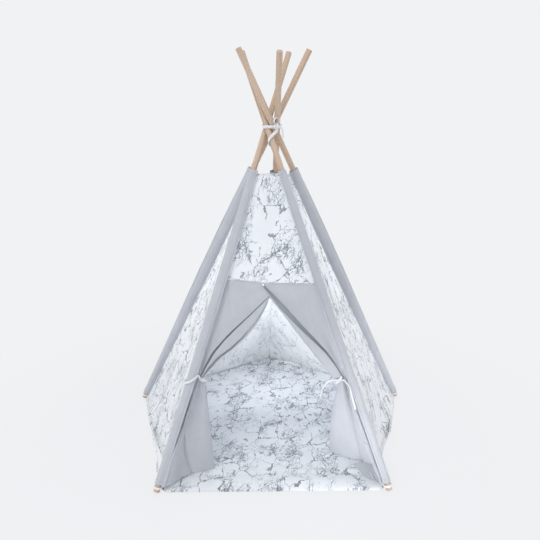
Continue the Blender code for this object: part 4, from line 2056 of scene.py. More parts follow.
TRAIN_CORNERS = (
    (0.302, -0.322, 0.0120),
    (0.376, -0.336, 0.0290),
    (0.332, -0.404, 0.0112),
    (0.392, -0.440, 0.0150),
)


def head_height(x: Any) -> Array:
    """The height of the seam above the door at each x: it climbs a little to the left."""
    return HEAD_LOW + HEAD_CLIMB * np.clip((-np.asarray(x) - HEAD_TURN) / HEAD_REACH, 0.0, 1.0)


def front_point(x: Any, height: Any, depth: Any = 0.0) -> Array:
    """Points of the door's sloping plane, by x and height, set back by a depth into the tent.

    Args:
        x: One x or many.
        height: Their heights.
        depth: How far behind the plane they lie.

    Returns:
        A point to an x.
    """
    left, right = POLES["front_left"], POLES["front_right"]
    x, height, depth = np.broadcast_arrays(np.asarray(x, float), height, depth)
    a, b = pocket_edge(left, height, right), pocket_edge(right, height, left)
    points = a + (b - a) * ((x - a[..., 0]) / (b[..., 0] - a[..., 0]))[..., None]
    inward = unit(np.cross(right.foot - left.foot, left.up))
    inward = inward if inward[1] > 0 else -inward
    return points + depth[..., None] * inward


class DoorHalf(Assembly):
    """One half of the door: the taut cloth with its turned-back edge, the curtain below, and the tie."""

    taut = TautFolds()
    folds = CurtainFolds()
    tie = TieShape()

    def __init__(self, finishes: Finishes, name: str) -> None:
        """Sets the half at its pole.

        Args:
            finishes: The finishes.
            name: left or right.
        """
        super().__init__(finishes)
        self.name = name
        self.side = 1.0 if name == "right" else -1.0
        self.pole = POLES[f"front_{name}"]
        self.other = POLES["front_left" if name == "right" else "front_right"]
        self.size = DOOR_SIZES[name]
        self.fold_top = np.array(self.size.split)
        self.low = TIE_HEIGHT + TIE_TAPE / 2 + TOUCH * 2 + CLOTH
        self.outward = -unit(np.cross(POLES["front_right"].foot - POLES["front_left"].foot, self.pole.up))
        if self.outward[1] > 0:
            self.outward = -self.outward

    def edge(self, height: Any) -> Array:
        """Where this half's outer edge meets the pocket."""
        return pocket_edge(self.pole, height, self.other)

    def gather(self, share: Any, height: float = TIE_HEIGHT) -> Array:
        """A point of the gathered cloth at the tie, from the pocket at 0 to its inner side at 1.

        Args:
            share: One share or many.
            height: The level.

        Returns:
            One point, or one to a share.
        """
        outer = self.edge(height)
        inner = front_point(outer[0] - self.side * GATHER_WIDTH, height, GATHER_DEPTH)
        return outer + (inner - outer) * np.asarray(share)[..., None]

    def fold(self, t: float) -> Array:
        """The drawn-back edge, from the top of the opening at 0 to the tie at 1, as (x, height).

        Args:
            t: The share of the way down.

        Returns:
            The point.
        """
        end = np.array((self.gather(0.5)[0] + self.side * FOLD_STEP, self.low))
        slope = unit(end - self.fold_top)
        bow = np.array((self.side * abs(slope[1]), abs(slope[0]))) * eased(t, EDGE_STOPS, self.size.bow)
        return self.fold_top + (end - self.fold_top) * t + bow

    def boundary(self, t: float) -> Array:
        """The sewn edge, from the middle of the head at 0, out to the pocket and down to the tie at 1.

        Args:
            t: The share of the way.

        Returns:
            The point.
        """
        split, corner = self.size.head_x, self.edge(DOOR_HEAD)[0]
        if t < SEWN_HEAD_SHARE:
            x = split + (corner - split) * t / SEWN_HEAD_SHARE
            return front_point(x, head_height(x) + HEAD_OVERLAP, CLOTH * 1.4)
        head = head_height(corner) + HEAD_OVERLAP
        down = (t - SEWN_HEAD_SHARE) / (1 - SEWN_HEAD_SHARE)
        return self.edge(head + (self.low - head) * down)

    def upper_grid(self, steps: int = 120, flat: int = 34) -> Array:
        """Rows across the taut cloth, round its fold and out again along the hem.

        Args:
            steps: How many rows.
            flat: How many points across the taut part.

        Returns:
            The grid of points.
        """
        slope = unit(np.array((self.fold(1.0)[0] - self.fold_top[0], self.low - self.fold_top[1])))
        inboard = np.array((-self.side * abs(slope[1]), -abs(slope[0])))
        tie = self.gather(0.5)
        shares = np.linspace(0.0, 1.0, flat)
        rows = []
        for t in np.linspace(0.0, 1.0, steps):
            x, height = self.fold(t)
            start, end = self.boundary(t), front_point(x, height)
            size = 0.4 + 0.6 * math.sin(math.pi * (0.1 + 0.75 * t))
            tuck = -FOLD_TUCK * size * min(1.0, np.linalg.norm(end - start) / (3 * FOLD_TUCK))
            profile = []
            for reach, depth in self.profile(tuck, eased(t, EDGE_STOPS, self.size.band), t):
                place = np.array((x, height)) + inboard * reach
                above = place[1] - self.low
                level = self.low + 0.5 * (above + math.hypot(above, 0.004))
                profile.append(front_point(place[0], level, FOLD_STEP * depth * size))
            cloth = start + (profile[0] - start) * shares[:, None]
            cloth = cloth + self.taut.offset(cloth, tie, self.side, shares)[:, None] * self.outward
            turn = spline(np.array([cloth[-2], *profile]), 60)[1:]
            rows.append(np.vstack([cloth[:-1], turn]))
        return np.array(rows)

    def profile(self, tuck: float, width: float, t: float) -> list[tuple[float, float]]:
        """How the cloth turns back behind its own edge.

        Args:
            tuck: How far in the first turn goes.
            width: How wide the band shows.
            t: The share of the way down the edge.

        Returns:
            Pairs of the reach past the edge and the depth in fold steps.
        """
        slot = float(np.interp(t, SLOT_STOPS, self.size.slots))
        lip = FOLD_STEP * 0.3
        start = lip + slot + 0.003
        rest = max(width - start, 0.004)
        band = self.left_band(t) if self.name == "left" else RIGHT_BAND
        return [
            (lip * 0.7, 0.05),
            (lip, 0.3),
            (tuck * 0.4, 0.7),
            (tuck, 1.1),
            (tuck, 2.3),
            (tuck * 0.3, 3.0),
            (lip + slot * 0.7, 2.8),
            (lip + slot, 1.6),
            (lip + slot + 0.002, 0.9),
            *((start + rest * share, depth) for share, depth in band),
        ]

    @staticmethod
    def left_band(t: float) -> list[tuple[float, float]]:
        """The left band's second fold: shares of the band's width, and depths in fold steps.

        Args:
            t: The share of the way down the edge.

        Returns:
            Pairs of share and depth.
        """
        tight = float(np.interp(t, (0.35, 0.65), (0.0, 1.0)))
        crimp = 0.03 + 0.17 * tight
        place = float(np.interp(t, SECOND_FOLD_STOPS, SECOND_FOLD_PLACES))
        gap = float(np.interp(t, SECOND_FOLD_GAP_STOPS, SECOND_FOLD_GAPS))
        return [
            (place - 0.03, 0.9),
            (place, 1.2),
            (place - crimp, 1.5),
            (place - 0.03 - crimp * 0.5, 1.7 + 1.3 * tight),
            (place + gap, 1.8 + 1.3 * tight),
            (place + gap + 0.05, 1.7),
            (1.0, 1.8),
        ]

    def build(self) -> None:
        """Builds the half."""
        fold = FoldAway.between(self.pole, self.other)
        self.build_upper(fold)
        self.build_curtain()
        self.build_tie()

    def own_map(self, points: Array, seed: float) -> Array:
        """A map in metres of cloth over a grid of points.

        Args:
            points: The grid of points.
            seed: The piece's own place on the weave.

        Returns:
            One pair of map coordinates to a point.
        """
        across = np.zeros(points.shape[:2])
        across[:, 1:] = np.cumsum(np.linalg.norm(np.diff(points, axis=1), axis=-1), axis=1)
        along = np.zeros(points.shape[:2])
        along[1:] = np.cumsum(np.linalg.norm(np.diff(points, axis=0), axis=-1).mean(axis=1))[:, None]
        return np.stack([across, along], axis=-1) + seed

    def grey_sheet(
        self, name: str, points: Array, seed: float, facing: Array | None = None
    ) -> Piece:
        """A sheet of grey cloth through a grid of points.

        Args:
            name: The piece's name.
            points: The grid of points.
            seed: The piece's own place on the weave.
            facing: The way that its front looks, where that matters.

        Returns:
            The piece.
        """
        own = self.own_map(points, seed)
        return Sheet(name, points, own, self.finishes.grey, facing=facing, angle=75.0).build()

    def build_upper(self, fold: FoldAway) -> None:
        """The taut cloth and its turned-back band.

        Args:
            fold: How the cloth would gather as the tent folds; the pieces only get their own meshes from it.
        """
        points = self.upper_grid()
        piece = self.grey_sheet(f"door_cloth_{self.name}", points, 2.0 + self.side)
        hem_line = points[:, -3] + self.outward * CLOTH * 0.5
        head_line = points[: int(len(points) * SEWN_HEAD_SHARE), 1] + self.outward * CLOTH * 0.5
        rows = [StitchRow(hem_line[4:-8], self.outward), StitchRow(head_line[2:], self.outward)]
        thread = stitches(f"door_stitches_{self.name}", rows, self.finishes.grey_thread)
        self.place(piece, self.pole.body, Slot.GREY, [f"door_{self.name}"], fold)
        self.place(thread, self.pole.body, Slot.GREY, (), fold)
        surface_area(points)

    def curtain_grid(self, down: int = 96, across: int = 168) -> Array:
        """Rows of the hanging cloth, pleated from the tie and fanned out to the floor.

        Args:
            down: How many rows.
            across: How many points to a row.

        Returns:
            The grid of points.
        """
        top = TIE_HEIGHT + TIE_TAPE / 2 + TOUCH
        size, drape = self.size, self.size.drape
        inner_top = self.gather(1.0, top)
        inner_x = self.edge(HEM_AT_POLES)[0] - self.side * size.curtain
        inner_floor = np.array((inner_x, size.set_back - FRONT_REACH, MAT_TOP + HEM_ABOVE_MAT))
        u = np.linspace(0.0, 1.0, across)
        stops = (0.0, 0.10, 0.20, 0.20 + drape.corner, 1.0)
        reach = int(across * 0.030)
        rows = []
        for v in np.linspace(0.0, 1.0, down):
            outer = self.edge(top + (HEM_AT_POLES - top) * v)
            inner = inner_top + (inner_floor - inner_top) * v
            inner[0] -= self.side * size.belly * math.sin(math.pi * v**1.7)
            corner = outer + (inner - outer) * 0.06
            corner = corner + np.array((self.side * 0.20, 1.0, 0.0)) * drape.set_back(v)
            slot = float(np.interp(v, CURTAIN_SLOT_STOPS, drape.slot))
            front = outer + unit(inner - outer) * (0.0006 + slot)
            front = front + self.outward * drape.flush * float(np.interp(v, (0.5, 0.7), (0.0, 1.0)))
            deep = outer + np.array((self.side * 0.004, 1.0, 0.0)) * (0.0004 + 3.6 * slot)
            near = corner if self.name == "right" else corner * 0.5 + front * 0.5
            path = np.array([np.interp(u, stops, part) for part in zip(outer, deep, front, near, inner)]).T
            padded = np.pad(path, ((reach, reach), (0, 0)), mode="reflect", reflect_type="odd")
            path = np.array([smoothed(part, 2 * reach + 1) for part in padded.T]).T
            way = np.gradient(path, axis=0)
            across_way = unit(np.stack([way[:, 1], -way[:, 0], np.zeros(across)], axis=1)) * self.side
            rows.append(path - across_way * self.drape_offset(u, v)[:, None])
        return np.array(rows)

    def drape_offset(self, u: Array, v: float) -> Array:
        """How far the hanging cloth stands out at a level.

        Args:
            u: The shares of the way from the pocket to the inner edge.
            v: The share of the way down.

        Returns:
            One value to a share.
        """
        crease = -self.size.drape.long_fold(u, v)
        if self.name == "right":
            crease = crease * (1 - 0.6 * v) - self.folds.second(u, v)
        start = self.folds.swell_from
        crease = crease + self.size.swell * v * np.sin(math.pi * np.clip((u - start) / (1 - start), 0.0, 1.0))
        return (self.folds.offset(u, v, 6 + self.side) + crease) * np.minimum(1.0, 8 * u)

    def build_train(self) -> Piece:
        """The corner of the right curtain that trails on the mat towards the pole's foot.

        Returns:
            The corner of cloth.
        """
        b, a = np.meshgrid(np.linspace(0.0, 1.0, 44), np.linspace(0.0, 1.0, 44), indexing="ij")
        left, top, front, foot = (np.array(corner) for corner in TRAIN_CORNERS)
        upper = left + a[..., None] * (top - left) + b[..., None] * (front - left)
        lower = foot + (1 - a[..., None]) * (front - foot) + (1 - b[..., None]) * (top - foot)
        beyond = a + b - 1
        points = np.where((beyond <= 0)[..., None], upper, lower)
        ridge = 0.0022 * np.exp(-((beyond / 0.06) ** 2))
        pleats = Wave(0.0016, 4.5).at(a) * np.clip(beyond, 0.0, 0.4) / 0.4
        points[..., 2] += ridge + pleats + 0.0007 * (1 + ripples(points[..., :2], 0.03, 21.0, 2))
        return self.grey_sheet("curtain_train_right", points, 9.0, UP)

    def build_curtain(self) -> None:
        """The hanging cloth below the tie, with its hems."""
        points = self.curtain_grid()
        body = f"{self.name}_curtain"
        piece = self.grey_sheet(f"curtain_cloth_{self.name}", points, 5.0 + self.side)
        normals = grid_normals(points)
        rows = []
        for face in (-1.0, 1.0):
            bottom = points[-5] + normals[-5] * face * CLOTH * 0.5
            inner = points[:, -6] + normals[:, -6] * face * CLOTH * 0.5
            rows += [StitchRow(bottom, normals[-5] * face), StitchRow(inner[3:], normals[3:, -6] * face)]
        thread = stitches(f"curtain_stitches_{self.name}", rows, self.finishes.grey_thread)
        tie = self.gather(0.5, TIE_HEIGHT - 0.004)
        hang = (self.pole.body, tie, tie - UP * CURTAIN_HANG)
        self.place(piece, body, Slot.GREY, [f"curtain_{self.name}"], hang=hang)
        extras = [self.place(thread, body, Slot.GREY, hang=hang)]
        if self.name == "right":
            extras.append(self.place(self.build_train(), body, Slot.GREY))
        surface_area(points)

    def tie_outline(self) -> tuple[Array, Array, Array]:
        """The tie's route round the gathered cloth, the way its tape looks, and the way its front looks.

        Returns:
            The three of them.
        """
        reach = GATHER_HALF + CLOTH / 2 + TOUCH + TAPE / 2
        start, end = self.gather(0.0), self.gather(1.0)
        along = unit(end - start)
        front = np.array((along[1], -along[0], 0.0)) * (1.0 if along[0] > 0 else -1.0)
        shares = (0.05, 0.5, 1.0)
        outline, face = [], []
        if self.size.round_pocket:
            shares = (0.6, 1.0)
            for point, way in self.round_pocket():
                outline.append(point)
                face.append(way)
        for share in shares:
            outline.append(self.gather(share) + front * reach)
            face.append(front)
        for turn in math.pi * np.arange(1, 6) / 6:
            way = front * math.cos(turn) + along * math.sin(turn)
            outline.append(end + reach * way)
            face.append(way)
        for share in (1.0, 0.6, 0.25):
            outline.append(self.gather(share) - front * reach)
            face.append(-front)
        return np.array(outline), np.array(face), front

    def round_pocket(self) -> list[tuple[Array, Array]]:
        """Where the tie's tape lies round the front of the pocket, and the way that it looks there.

        Returns:
            Pairs of a point and the way there.
        """
        tie, pole = self.tie, self.pole
        grow = CLOTH / 2 + TOUCH * 2 + TAPE / 2 + tie.wrap_room
        level = pole.along_at(TIE_HEIGHT)
        places = []
        for turn in np.radians(tie.wrap_from - tie.wrap_step * np.arange(tie.wrap_count)):
            way = self.side * math.cos(turn)
            width, depth = POCKET.halves(level, pole.name, way)
            side, out = (width + grow) * way, (depth + grow) * math.sin(turn)
            point = pole.point(level, side, out)
            point = point + pole.up * ((TIE_HEIGHT - point[2]) / pole.up[2])
            places.append((point, unit(pole.side * side + pole.out * out)))
        return places

    def build_tie(self) -> None:
        """The tape round the gathered cloth, its knot and its loose tails."""
        tie, tape, up = self.tie, self.finishes.tape, self.pole.up
        outline, face, front = self.tie_outline()
        route = spline(outline, tie.steps)
        ways = unit(spline(face, tie.steps))
        wander = np.linspace(0.0, 1.0, tie.steps)[:, None]
        route = route + up * (tie.waver * np.sin(wander * 7.0) + np.interp(wander, *self.size.tie_rise))
        second = route + ways * tie.second_out + up * tie.second_up * np.cos(wander * 3.0)
        bands = [
            ribbon(f"tie_band_turn_{self.name}", route, ways, tie.tape, tape),
            ribbon(f"tie_band_second_{self.name}", second, ways, tie.second_tape, tape),
        ]
        band = Bench.join(f"tie_tape_{self.name}", bands)
        self.place(band, self.pole.body, Slot.TAPE, [f"tie_band_{self.name}"])
        along = unit(self.gather(1.0) - self.gather(0.0))
        look = unit(np.cross(along, up))
        look = look if look[1] < 0 else -look
        tape_front = (GATHER_HALF + CLOTH / 2 + TOUCH + CLOTH) * abs(look @ front)
        centre = self.gather(tie.knot_place) + look * (tape_front + CORD_TOUCH + tie.knot_depth / 2)
        knot = self.knot(f"tie_knot_tape_{self.name}", centre, along, look)
        self.place(knot, self.pole.body, Slot.TAPE, [f"tie_knot_{self.name}"])
        for label, steps in self.size.ties.items():
            way = along if label == "inner" else -along
            start = centre + way * (tie.knot_width / 2 + CORD_TOUCH)
            stops = [start, start + way * tie.tail_start * 2, *(start + np.array(step) for step in steps)]
            self.build_tail(label, np.array(stops), look)

    def knot(self, name: str, centre: Array, along: Array, look: Array) -> Piece:
        """The tie's knot, with an ear of tape where the tie has loose tails.

        Args:
            name: The knot's name.
            centre: The knot's middle.
            along: The way along the knot.
            look: The way that it looks.

        Returns:
            The knot.
        """
        tie, lift = self.tie, np.cross(along, look)
        parts = tie.knot.build(name, centre, (along, lift, look), lift, self.finishes.tape)
        if self.size.ties:
            line = [centre + a * along + b * lift + (c + tie.ear_out) * look for a, b, c in tie.ear]
            route = spline(np.array(line), 24)
            parts.append(ribbon(f"{name}_ear", route, look, tie.ear_tape, self.finishes.tape))
        return Bench.join(name, parts)

    def build_tail(self, label: str, stops: Array, look: Array) -> None:
        """One loose tail of the tie.

        Args:
            label: Which tail.
            stops: The points that it runs through.
            look: The way that its tape looks.
        """
        tie = self.tie
        route = spline(stops, tie.tail_steps)
        twist = np.linspace(0.0, 1.0, tie.tail_steps)
        side = np.cross(np.gradient(route, axis=0), look)
        angle = tie.tail_twist * twist**2 * (1.0 if label == "inner" else -1.0)
        ways = look * np.cos(angle)[:, None] + unit(side) * np.sin(angle)[:, None]
        width = tie.tail_width + tie.tail_flare * twist**2.2
        tail = ribbon(f"tie_tail_{label}", route, ways, width, self.finishes.tape, crown=0.0005)
        self.place(tail, self.pole.body, Slot.TAPE, [f"tie_tail_right_{label}"])


@dataclass(frozen=True)
class LashSize:
    """The sizes of the lashing's tapes."""

    clearance: float = 0.0044
    turn: float = math.radians(27)
    turns: int = 3
    pole_steps: int = 10
    winding_tape: float = 0.0074
    winding_inset: float = 0.0008
    winding_rise: float = 0.0085
    winding_waver: float = 0.0012
    knot_size: tuple[float, float, float] = (0.020, 0.012, 0.018)
    knot: KnotShape = KnotShape((0.0095, 0.0080, 0.0030), 0.0074, (0.0054, 0.0086), 0.0085, (84, 32))
    knot_slant: float = 0.35
    loop_radius: float = 0.011
    loop_tape: float = 0.0098
    loop_squeeze: float = 0.42
    strand_tape: float = 0.0110
    strand_diameter: float = 0.003
    strand_low: float = 0.062
    strand_rise: float = 0.029
    strand_from: float = math.radians(83)
    strand_sweep: float = math.radians(183)
    strand_hold: tuple[int, int] = (2, 28)
    tail_start: float = 0.006
    tail_width: float = 0.0060
    tail_flare: float = 0.0065
    tail_diameter: float = 0.0072
    tail: tuple[tuple[float, float, float], ...] = (
        (0.012, 0.005, -0.010),
        (0.013, 0.005, -0.024),
        (0.016, 0.005, -0.040),
    )


class Lashing(Assembly):
    """The tape that binds the poles where they cross."""

    size = LashSize()

    def build(self) -> None:
        """Builds the windings, the knot, the bow loop, the strand and the tail."""
        size, tape = self.size, self.finishes.tape
        self.place(self.windings(), "crown", Slot.TAPE, ["lash_band"])
        face = np.array((math.sin(size.turn), -math.cos(size.turn), 0.0))
        along = np.array((-face[1], face[0], 0.0))
        reach = POLE_RADIUS + size.clearance + CLOTH / 2 + TOUCH + size.knot_size[1] / 2
        centre = POLES["side_right"].waist + face * reach
        slant = unit(UP + along * size.knot_slant)
        parts = size.knot.build("lash_knot", centre, (along, UP, face), slant, tape)
        knot = Bench.join("lash_knot_tape", parts)
        self.place(knot, "crown", Slot.TAPE, ["lash_knot"])
        self.place(self.bow(centre, along, face), "crown", Slot.TAPE, ["lash_bow_loop"])
        route, ways = self.strand_route(centre, face)
        strand = ribbon("lash_strand_tape", route, ways, size.strand_tape, tape, crown=0.0006)
        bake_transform(strand)
        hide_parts("lash_strand")
        self.tail(centre, along, face)

    def windings(self) -> Piece:
        """Turns of tape round the five poles, each a little above and over the last.

        Returns:
            The windings.
        """
        size = self.size
        centres = sorted((pole.waist for pole in POLES.values()), key=lambda p: math.atan2(p[1], p[0]))
        count = len(centres)
        total = size.turns * count * size.pole_steps
        route, face = [], []
        for lap in range(size.turns):
            for index, centre in enumerate(centres):
                before = centre - centres[index - 1]
                after = centres[(index + 1) % count] - centre
                start = math.atan2(-before[0], before[1])
                sweep = (math.atan2(-after[0], after[1]) - start) % (2 * math.pi)
                for step in range(size.pole_steps):
                    angle = start + sweep * step / (size.pole_steps - 1)
                    way = np.array((math.cos(angle), math.sin(angle), 0.0))
                    share = ((lap * count + index) * size.pole_steps + step) / total
                    radius = POLE_RADIUS + size.clearance - size.winding_inset * (1 - share * size.turns)
                    height = (share - 0.5) * size.winding_rise + size.winding_waver * math.sin(share * 23.0)
                    route.append(np.array((centre[0], centre[1], CROSSING_HEIGHT + height)) + way * radius)
                    face.append(way)
        route, face = np.array(route), np.array(face)
        return ribbon("lash_windings", route, face, size.winding_tape, self.finishes.tape, crown=0.0004)

    def bow(self, centre: Array, along: Array, face: Array) -> Piece:
        """The bow's loop, which stands above the knot.

        Args:
            centre: The knot's middle.
            along: The way along the knot.
            face: The way that it looks.

        Returns:
            The loop.
        """
        size = self.size
        middle = centre + UP * (size.knot_size[2] / 2 + size.loop_radius + CLOTH / 2 + TOUCH)
        turn = full_turn(48)
        squeeze = 1 - size.loop_squeeze * np.exp(-(((turn - 1.5 * math.pi) / 0.7) ** 2))
        x = np.cos(turn) * size.loop_radius * 0.95 * squeeze
        z = np.sin(turn) * size.loop_radius * 1.02
        route = middle + x[:, None] * along + z[:, None] * UP + (0.0015 * np.sin(turn))[:, None] * face
        ways = unit(route - middle)
        return ribbon("lash_bow_tape", route, ways, size.loop_tape, self.finishes.tape, closed=True)

    def strand_route(self, centre: Array, face: Array) -> tuple[Array, Array]:
        """The strand from the knot, down and round the front right pole.

        Args:
            centre: The knot's middle.
            face: The way that it looks.

        Returns:
            Its points, and the way that its tape looks at each.
        """
        size, pole = self.size, POLES["front_right"]
        wrap = POLE_RADIUS + TOUCH * 4 + size.strand_diameter / 2
        start = centre - UP * (size.knot_size[2] / 2 + CORD_TOUCH)
        low = float(pole.along_at(CROSSING_HEIGHT - size.strand_low))
        stops, ways = [start, start - UP * size.strand_diameter * 2], [face, face]
        for share in np.linspace(0.0, 1.0, 9):
            turn = size.strand_from - size.strand_sweep * share
            side, out = wrap * math.cos(turn), wrap * math.sin(turn)
            stops.append(pole.point(low + size.strand_rise * (1 - share), side, out))
            ways.append(unit(pole.side * side + pole.out * out))
        return spline(np.array(stops), 64), unit(spline(np.array(ways), 64))

    def tail(self, centre: Array, along: Array, face: Array) -> None:
        """The loose end of the lashing.

        Args:
            centre: The knot's middle.
            along: The way along the knot.
            face: The way that it looks.
        """
        size, count = self.size, 40
        start = centre + along * (size.knot_size[0] / 2 + CORD_TOUCH)
        steps = (start + np.array(step) for step in size.tail)
        route = spline(np.array([start, start + along * size.tail_start, *steps]), count)
        share = np.linspace(0.0, 1.0, count)
        width = size.tail_width + size.tail_flare * share
        ways = face * np.cos(share)[:, None] + along * np.sin(share)[:, None] * 0.6
        tail = ribbon("lash_tail_tape", route, unit(ways), width, self.finishes.tape, crown=0.0005)
        self.place(tail, "crown", Slot.TAPE, ["lash_tail"])


@dataclass(frozen=True)
class MatSize:
    """The mat's outline, padding and seams."""

    thickness: float = 0.008
    rim_height: float = 0.0034
    rim_width: float = 0.010
    underside: float = 0.0004
    inset: float = 0.004
    corner_cut: float = 0.032
    back_corner_cut: float = 0.016
    grid: tuple[int, int] = (110, 104)
    extent: tuple[float, float] = (1.19, 1.13)
    middle: float = 0.085
    soft: float = 0.0006
    soft_size: float = 0.11
    lip: float = 0.0085
    lip_place: float = 0.044
    lip_width: float = 0.024
    lip_reach: float = 0.285
    seam: float = 0.091
    seam_depth: float = 0.0024
    seam_width: float = 0.007
    seam_reach: float = 0.36
    edge_seam: float = 0.016
    edge_seam_depth: float = 0.0012
    edge_seam_width: float = 0.004
    turned_up: float = 0.0030
    draw_in: float = 1.15
    draw_in_reach: float = 0.10
    map_shift: float = 0.31


@dataclass(frozen=True)
class Settling:
    """The simulation that lets the mat's cover settle over its filling."""

    frames: int = 26
    gap: float = 0.0006
    filling_drop: float = 0.0008
    lift: float = 0.0012
    friction: float = 12.0
    held_rim: float = 0.004
    held_seam: float = 0.006
    quality: int = 5
    mass: float = 0.12
    stretch: float = 12.0
    shear: float = 6.0
    bend: float = 0.02
    shrink: float = -0.012


@dataclass(frozen=True)
class LoopSize:
    """The tape loop at each corner of the mat."""

    tape: float = 0.008
    reach: float = 0.036
    rise: float = 0.0105
    arc_steps: int = 30
    side_steps: int = 8


class FloorMat(Assembly):
    """The padded mat with the tape loops at its corners."""

    size = MatSize()
    settling = Settling()
    loop = LoopSize()

    def outline(self) -> Array:
        """The mat's outline, anticlockwise.

        Returns:
            Its corners.
        """
        feet = [pole.foot[:2] for pole in POLES.values()]
        outline = []
        for index, (name, foot) in enumerate(zip(POLES, feet)):
            before = unit(feet[index - 1] - foot)
            after = unit(feet[(index + 1) % len(feet)] - foot)
            inward = unit(before + after)
            angle = math.acos(float(before @ after))
            corner = foot + inward * (self.size.inset / math.sin(angle / 2))
            cut = self.size.back_corner_cut if name == "back" else self.size.corner_cut
            outline += [corner + before * cut, corner + after * cut]
        return np.array(outline)

    def build(self) -> None:
        """Builds the mat and its corner loops."""
        pad = self.pad(self.outline())
        self.place(pad, "mat", Slot.MARBLE, ["floor_mat"])
        for pole in POLES.values():
            self.corner_loop(pole)

    def pad(self, outline: Array) -> Piece:
        """The pad: a cover cut to the outline, settled over its filling, and closed below.

        Args:
            outline: The mat's outline.

        Returns:
            The pad.
        """
        cover = self.cut_cover("floor_mat_pad", outline)
        flat, inset = self.plan(cover, outline)
        self.set_heights(cover, self.top_height(flat, inset))
        self.settle(cover, flat, inset)
        Bench.apply(cover, "SUBSURF", levels=1)
        count = len(cover.data.vertices)
        Bench.edit(cover, bpy.ops.mesh.extrude_region)
        flat, _ = self.plan(cover, outline)
        places = Bench.points(cover)
        places[:count, 2] = self.size.underside
        places[:, :2] += self.draw_in(flat)
        Bench.move(cover, places)
        Bench.edit(cover, lambda: bpy.ops.mesh.normals_make_consistent(inside=False))
        for material in (self.finishes.marble, self.finishes.grey):
            cover.data.materials.append(material)
        for face in cover.data.polygons:
            face.material_index = int(face.normal.z < -0.5)
        Bench.lay_map(cover, flat + self.size.map_shift)
        Bench.smooth(cover, 60.0)
        return cover

    def draw_in(self, flat: Array) -> Array:
        """How far the mat's sides lie drawn in under the walls' hems, at each point of its plan.

        Args:
            flat: Where each point lies on the floor.

        Returns:
            One level offset to a point.
        """
        side, front = POLES["side_right"].foot, POLES["front_right"].foot
        way, reach = unit(front - side)[:2], float(np.linalg.norm(front - side))
        away = np.stack([np.abs(flat[:, 0]), flat[:, 1]], axis=1) - side[:2]
        share = away @ way / reach
        inset = np.abs(away @ np.array((way[1], -way[0])))
        pull = self.size.draw_in * DRAWN_IN.amount * DRAWN_IN.pull(share)
        pull *= np.exp(-inset / self.size.draw_in_reach)
        pull *= np.clip((1 - share) * reach / DRAWN_IN.corner, 0.0, 1.0)
        return -pull[:, None] * np.stack([np.sign(flat[:, 0]), np.zeros(len(flat))], axis=1)

    def cut_cover(self, name: str, outline: Array) -> Piece:
        """A fine grid of cloth cut to the outline.

        Args:
            name: The cover's name.
            outline: The mat's outline.

        Returns:
            The cover.
        """
        columns, rows = self.size.grid
        Bench.clear()
        bpy.ops.mesh.primitive_grid_add(x_subdivisions=columns, y_subdivisions=rows, size=1.0)
        cover = bpy.context.object
        cover.name = cover.data.name = name
        cover.scale = (*self.size.extent, 1.0)
        cover.location = (0.0, self.size.middle, 0.0)
        bpy.ops.object.transform_apply(location=True, rotation=True, scale=True)
        for start, end in zip(outline, np.roll(outline, -1, axis=0)):
            way = unit(end - start)
            cut = {"plane_co": (*start, 0.0), "plane_no": (way[1], -way[0], 0.0), "clear_outer": True}
            Bench.edit(cover, partial(bpy.ops.mesh.bisect, **cut))
        return cover

    @staticmethod
    def plan(cover: Piece, outline: Array) -> tuple[Array, Array]:
        """Where each point lies on the floor, and how far in from the outline.

        Args:
            cover: The cover.
            outline: The mat's outline.

        Returns:
            Each point's place, and how far in it lies.
        """
        flat = Bench.points(cover)[:, :2]
        inset = np.full(len(flat), np.inf)
        for start, end in zip(outline, np.roll(outline, -1, axis=0)):
            way = unit(end - start)
            inset = np.minimum(inset, (flat - start) @ np.array((-way[1], way[0])))
        return flat, np.maximum(inset, 0.0)

    @staticmethod
    def set_heights(cover: Piece, heights: Array) -> None:
        """Lifts the cover's points to their heights.

        Args:
            cover: The cover.
            heights: One height to a point.
        """
        places = Bench.points(cover)
        places[:, 2] = heights
        Bench.move(cover, places)

    def settle(self, cover: Piece, flat: Array, inset: Array) -> None:
        """Lets a cover a little too large for its filling fall over it, with its rim and its seam held.

        Args:
            cover: The cover, which keeps the settled shape.
            flat: Where each of its points lies on the floor.
            inset: How far in from the outline each lies.
        """
        rules = self.settling
        Bench.pick(cover)
        bpy.ops.object.duplicate()
        filling = bpy.context.object
        self.set_heights(filling, self.top_height(flat, inset) - rules.filling_drop)
        filling.modifiers.new("collision", "COLLISION")
        filling.collision.thickness_outer = rules.gap
        filling.collision.cloth_friction = rules.friction
        seam = np.abs(flat[:, 1] + FRONT_REACH - self.size.seam) < rules.held_seam
        held = (inset < rules.held_rim) | (seam & (np.abs(flat[:, 0]) < self.size.seam_reach))
        group = cover.vertex_groups.new(name="held")
        group.add([int(index) for index in np.nonzero(held)[0]], 1.0, "REPLACE")
        self.set_heights(cover, self.top_height(flat, inset) + np.where(held, 0.0, rules.lift))
        Bench.pick(cover)
        cloth = cover.modifiers.new("cloth", "CLOTH")
        for key, value in {
            "quality": rules.quality,
            "mass": rules.mass,
            "tension_stiffness": rules.stretch,
            "compression_stiffness": rules.stretch,
            "shear_stiffness": rules.shear,
            "bending_stiffness": rules.bend,
            "shrink_min": rules.shrink,
            "vertex_group_mass": "held",
        }.items():
            setattr(cloth.settings, key, value)
        cloth.collision_settings.distance_min = rules.gap
        cloth.point_cache.frame_end = rules.frames
        scene = bpy.context.scene
        for step in range(1, rules.frames + 1):
            scene.frame_set(step)
        Bench.pick(cover)
        bpy.ops.object.modifier_apply(modifier="cloth")
        scene.frame_set(1)
        cover.vertex_groups.clear()
        bpy.data.objects.remove(filling)

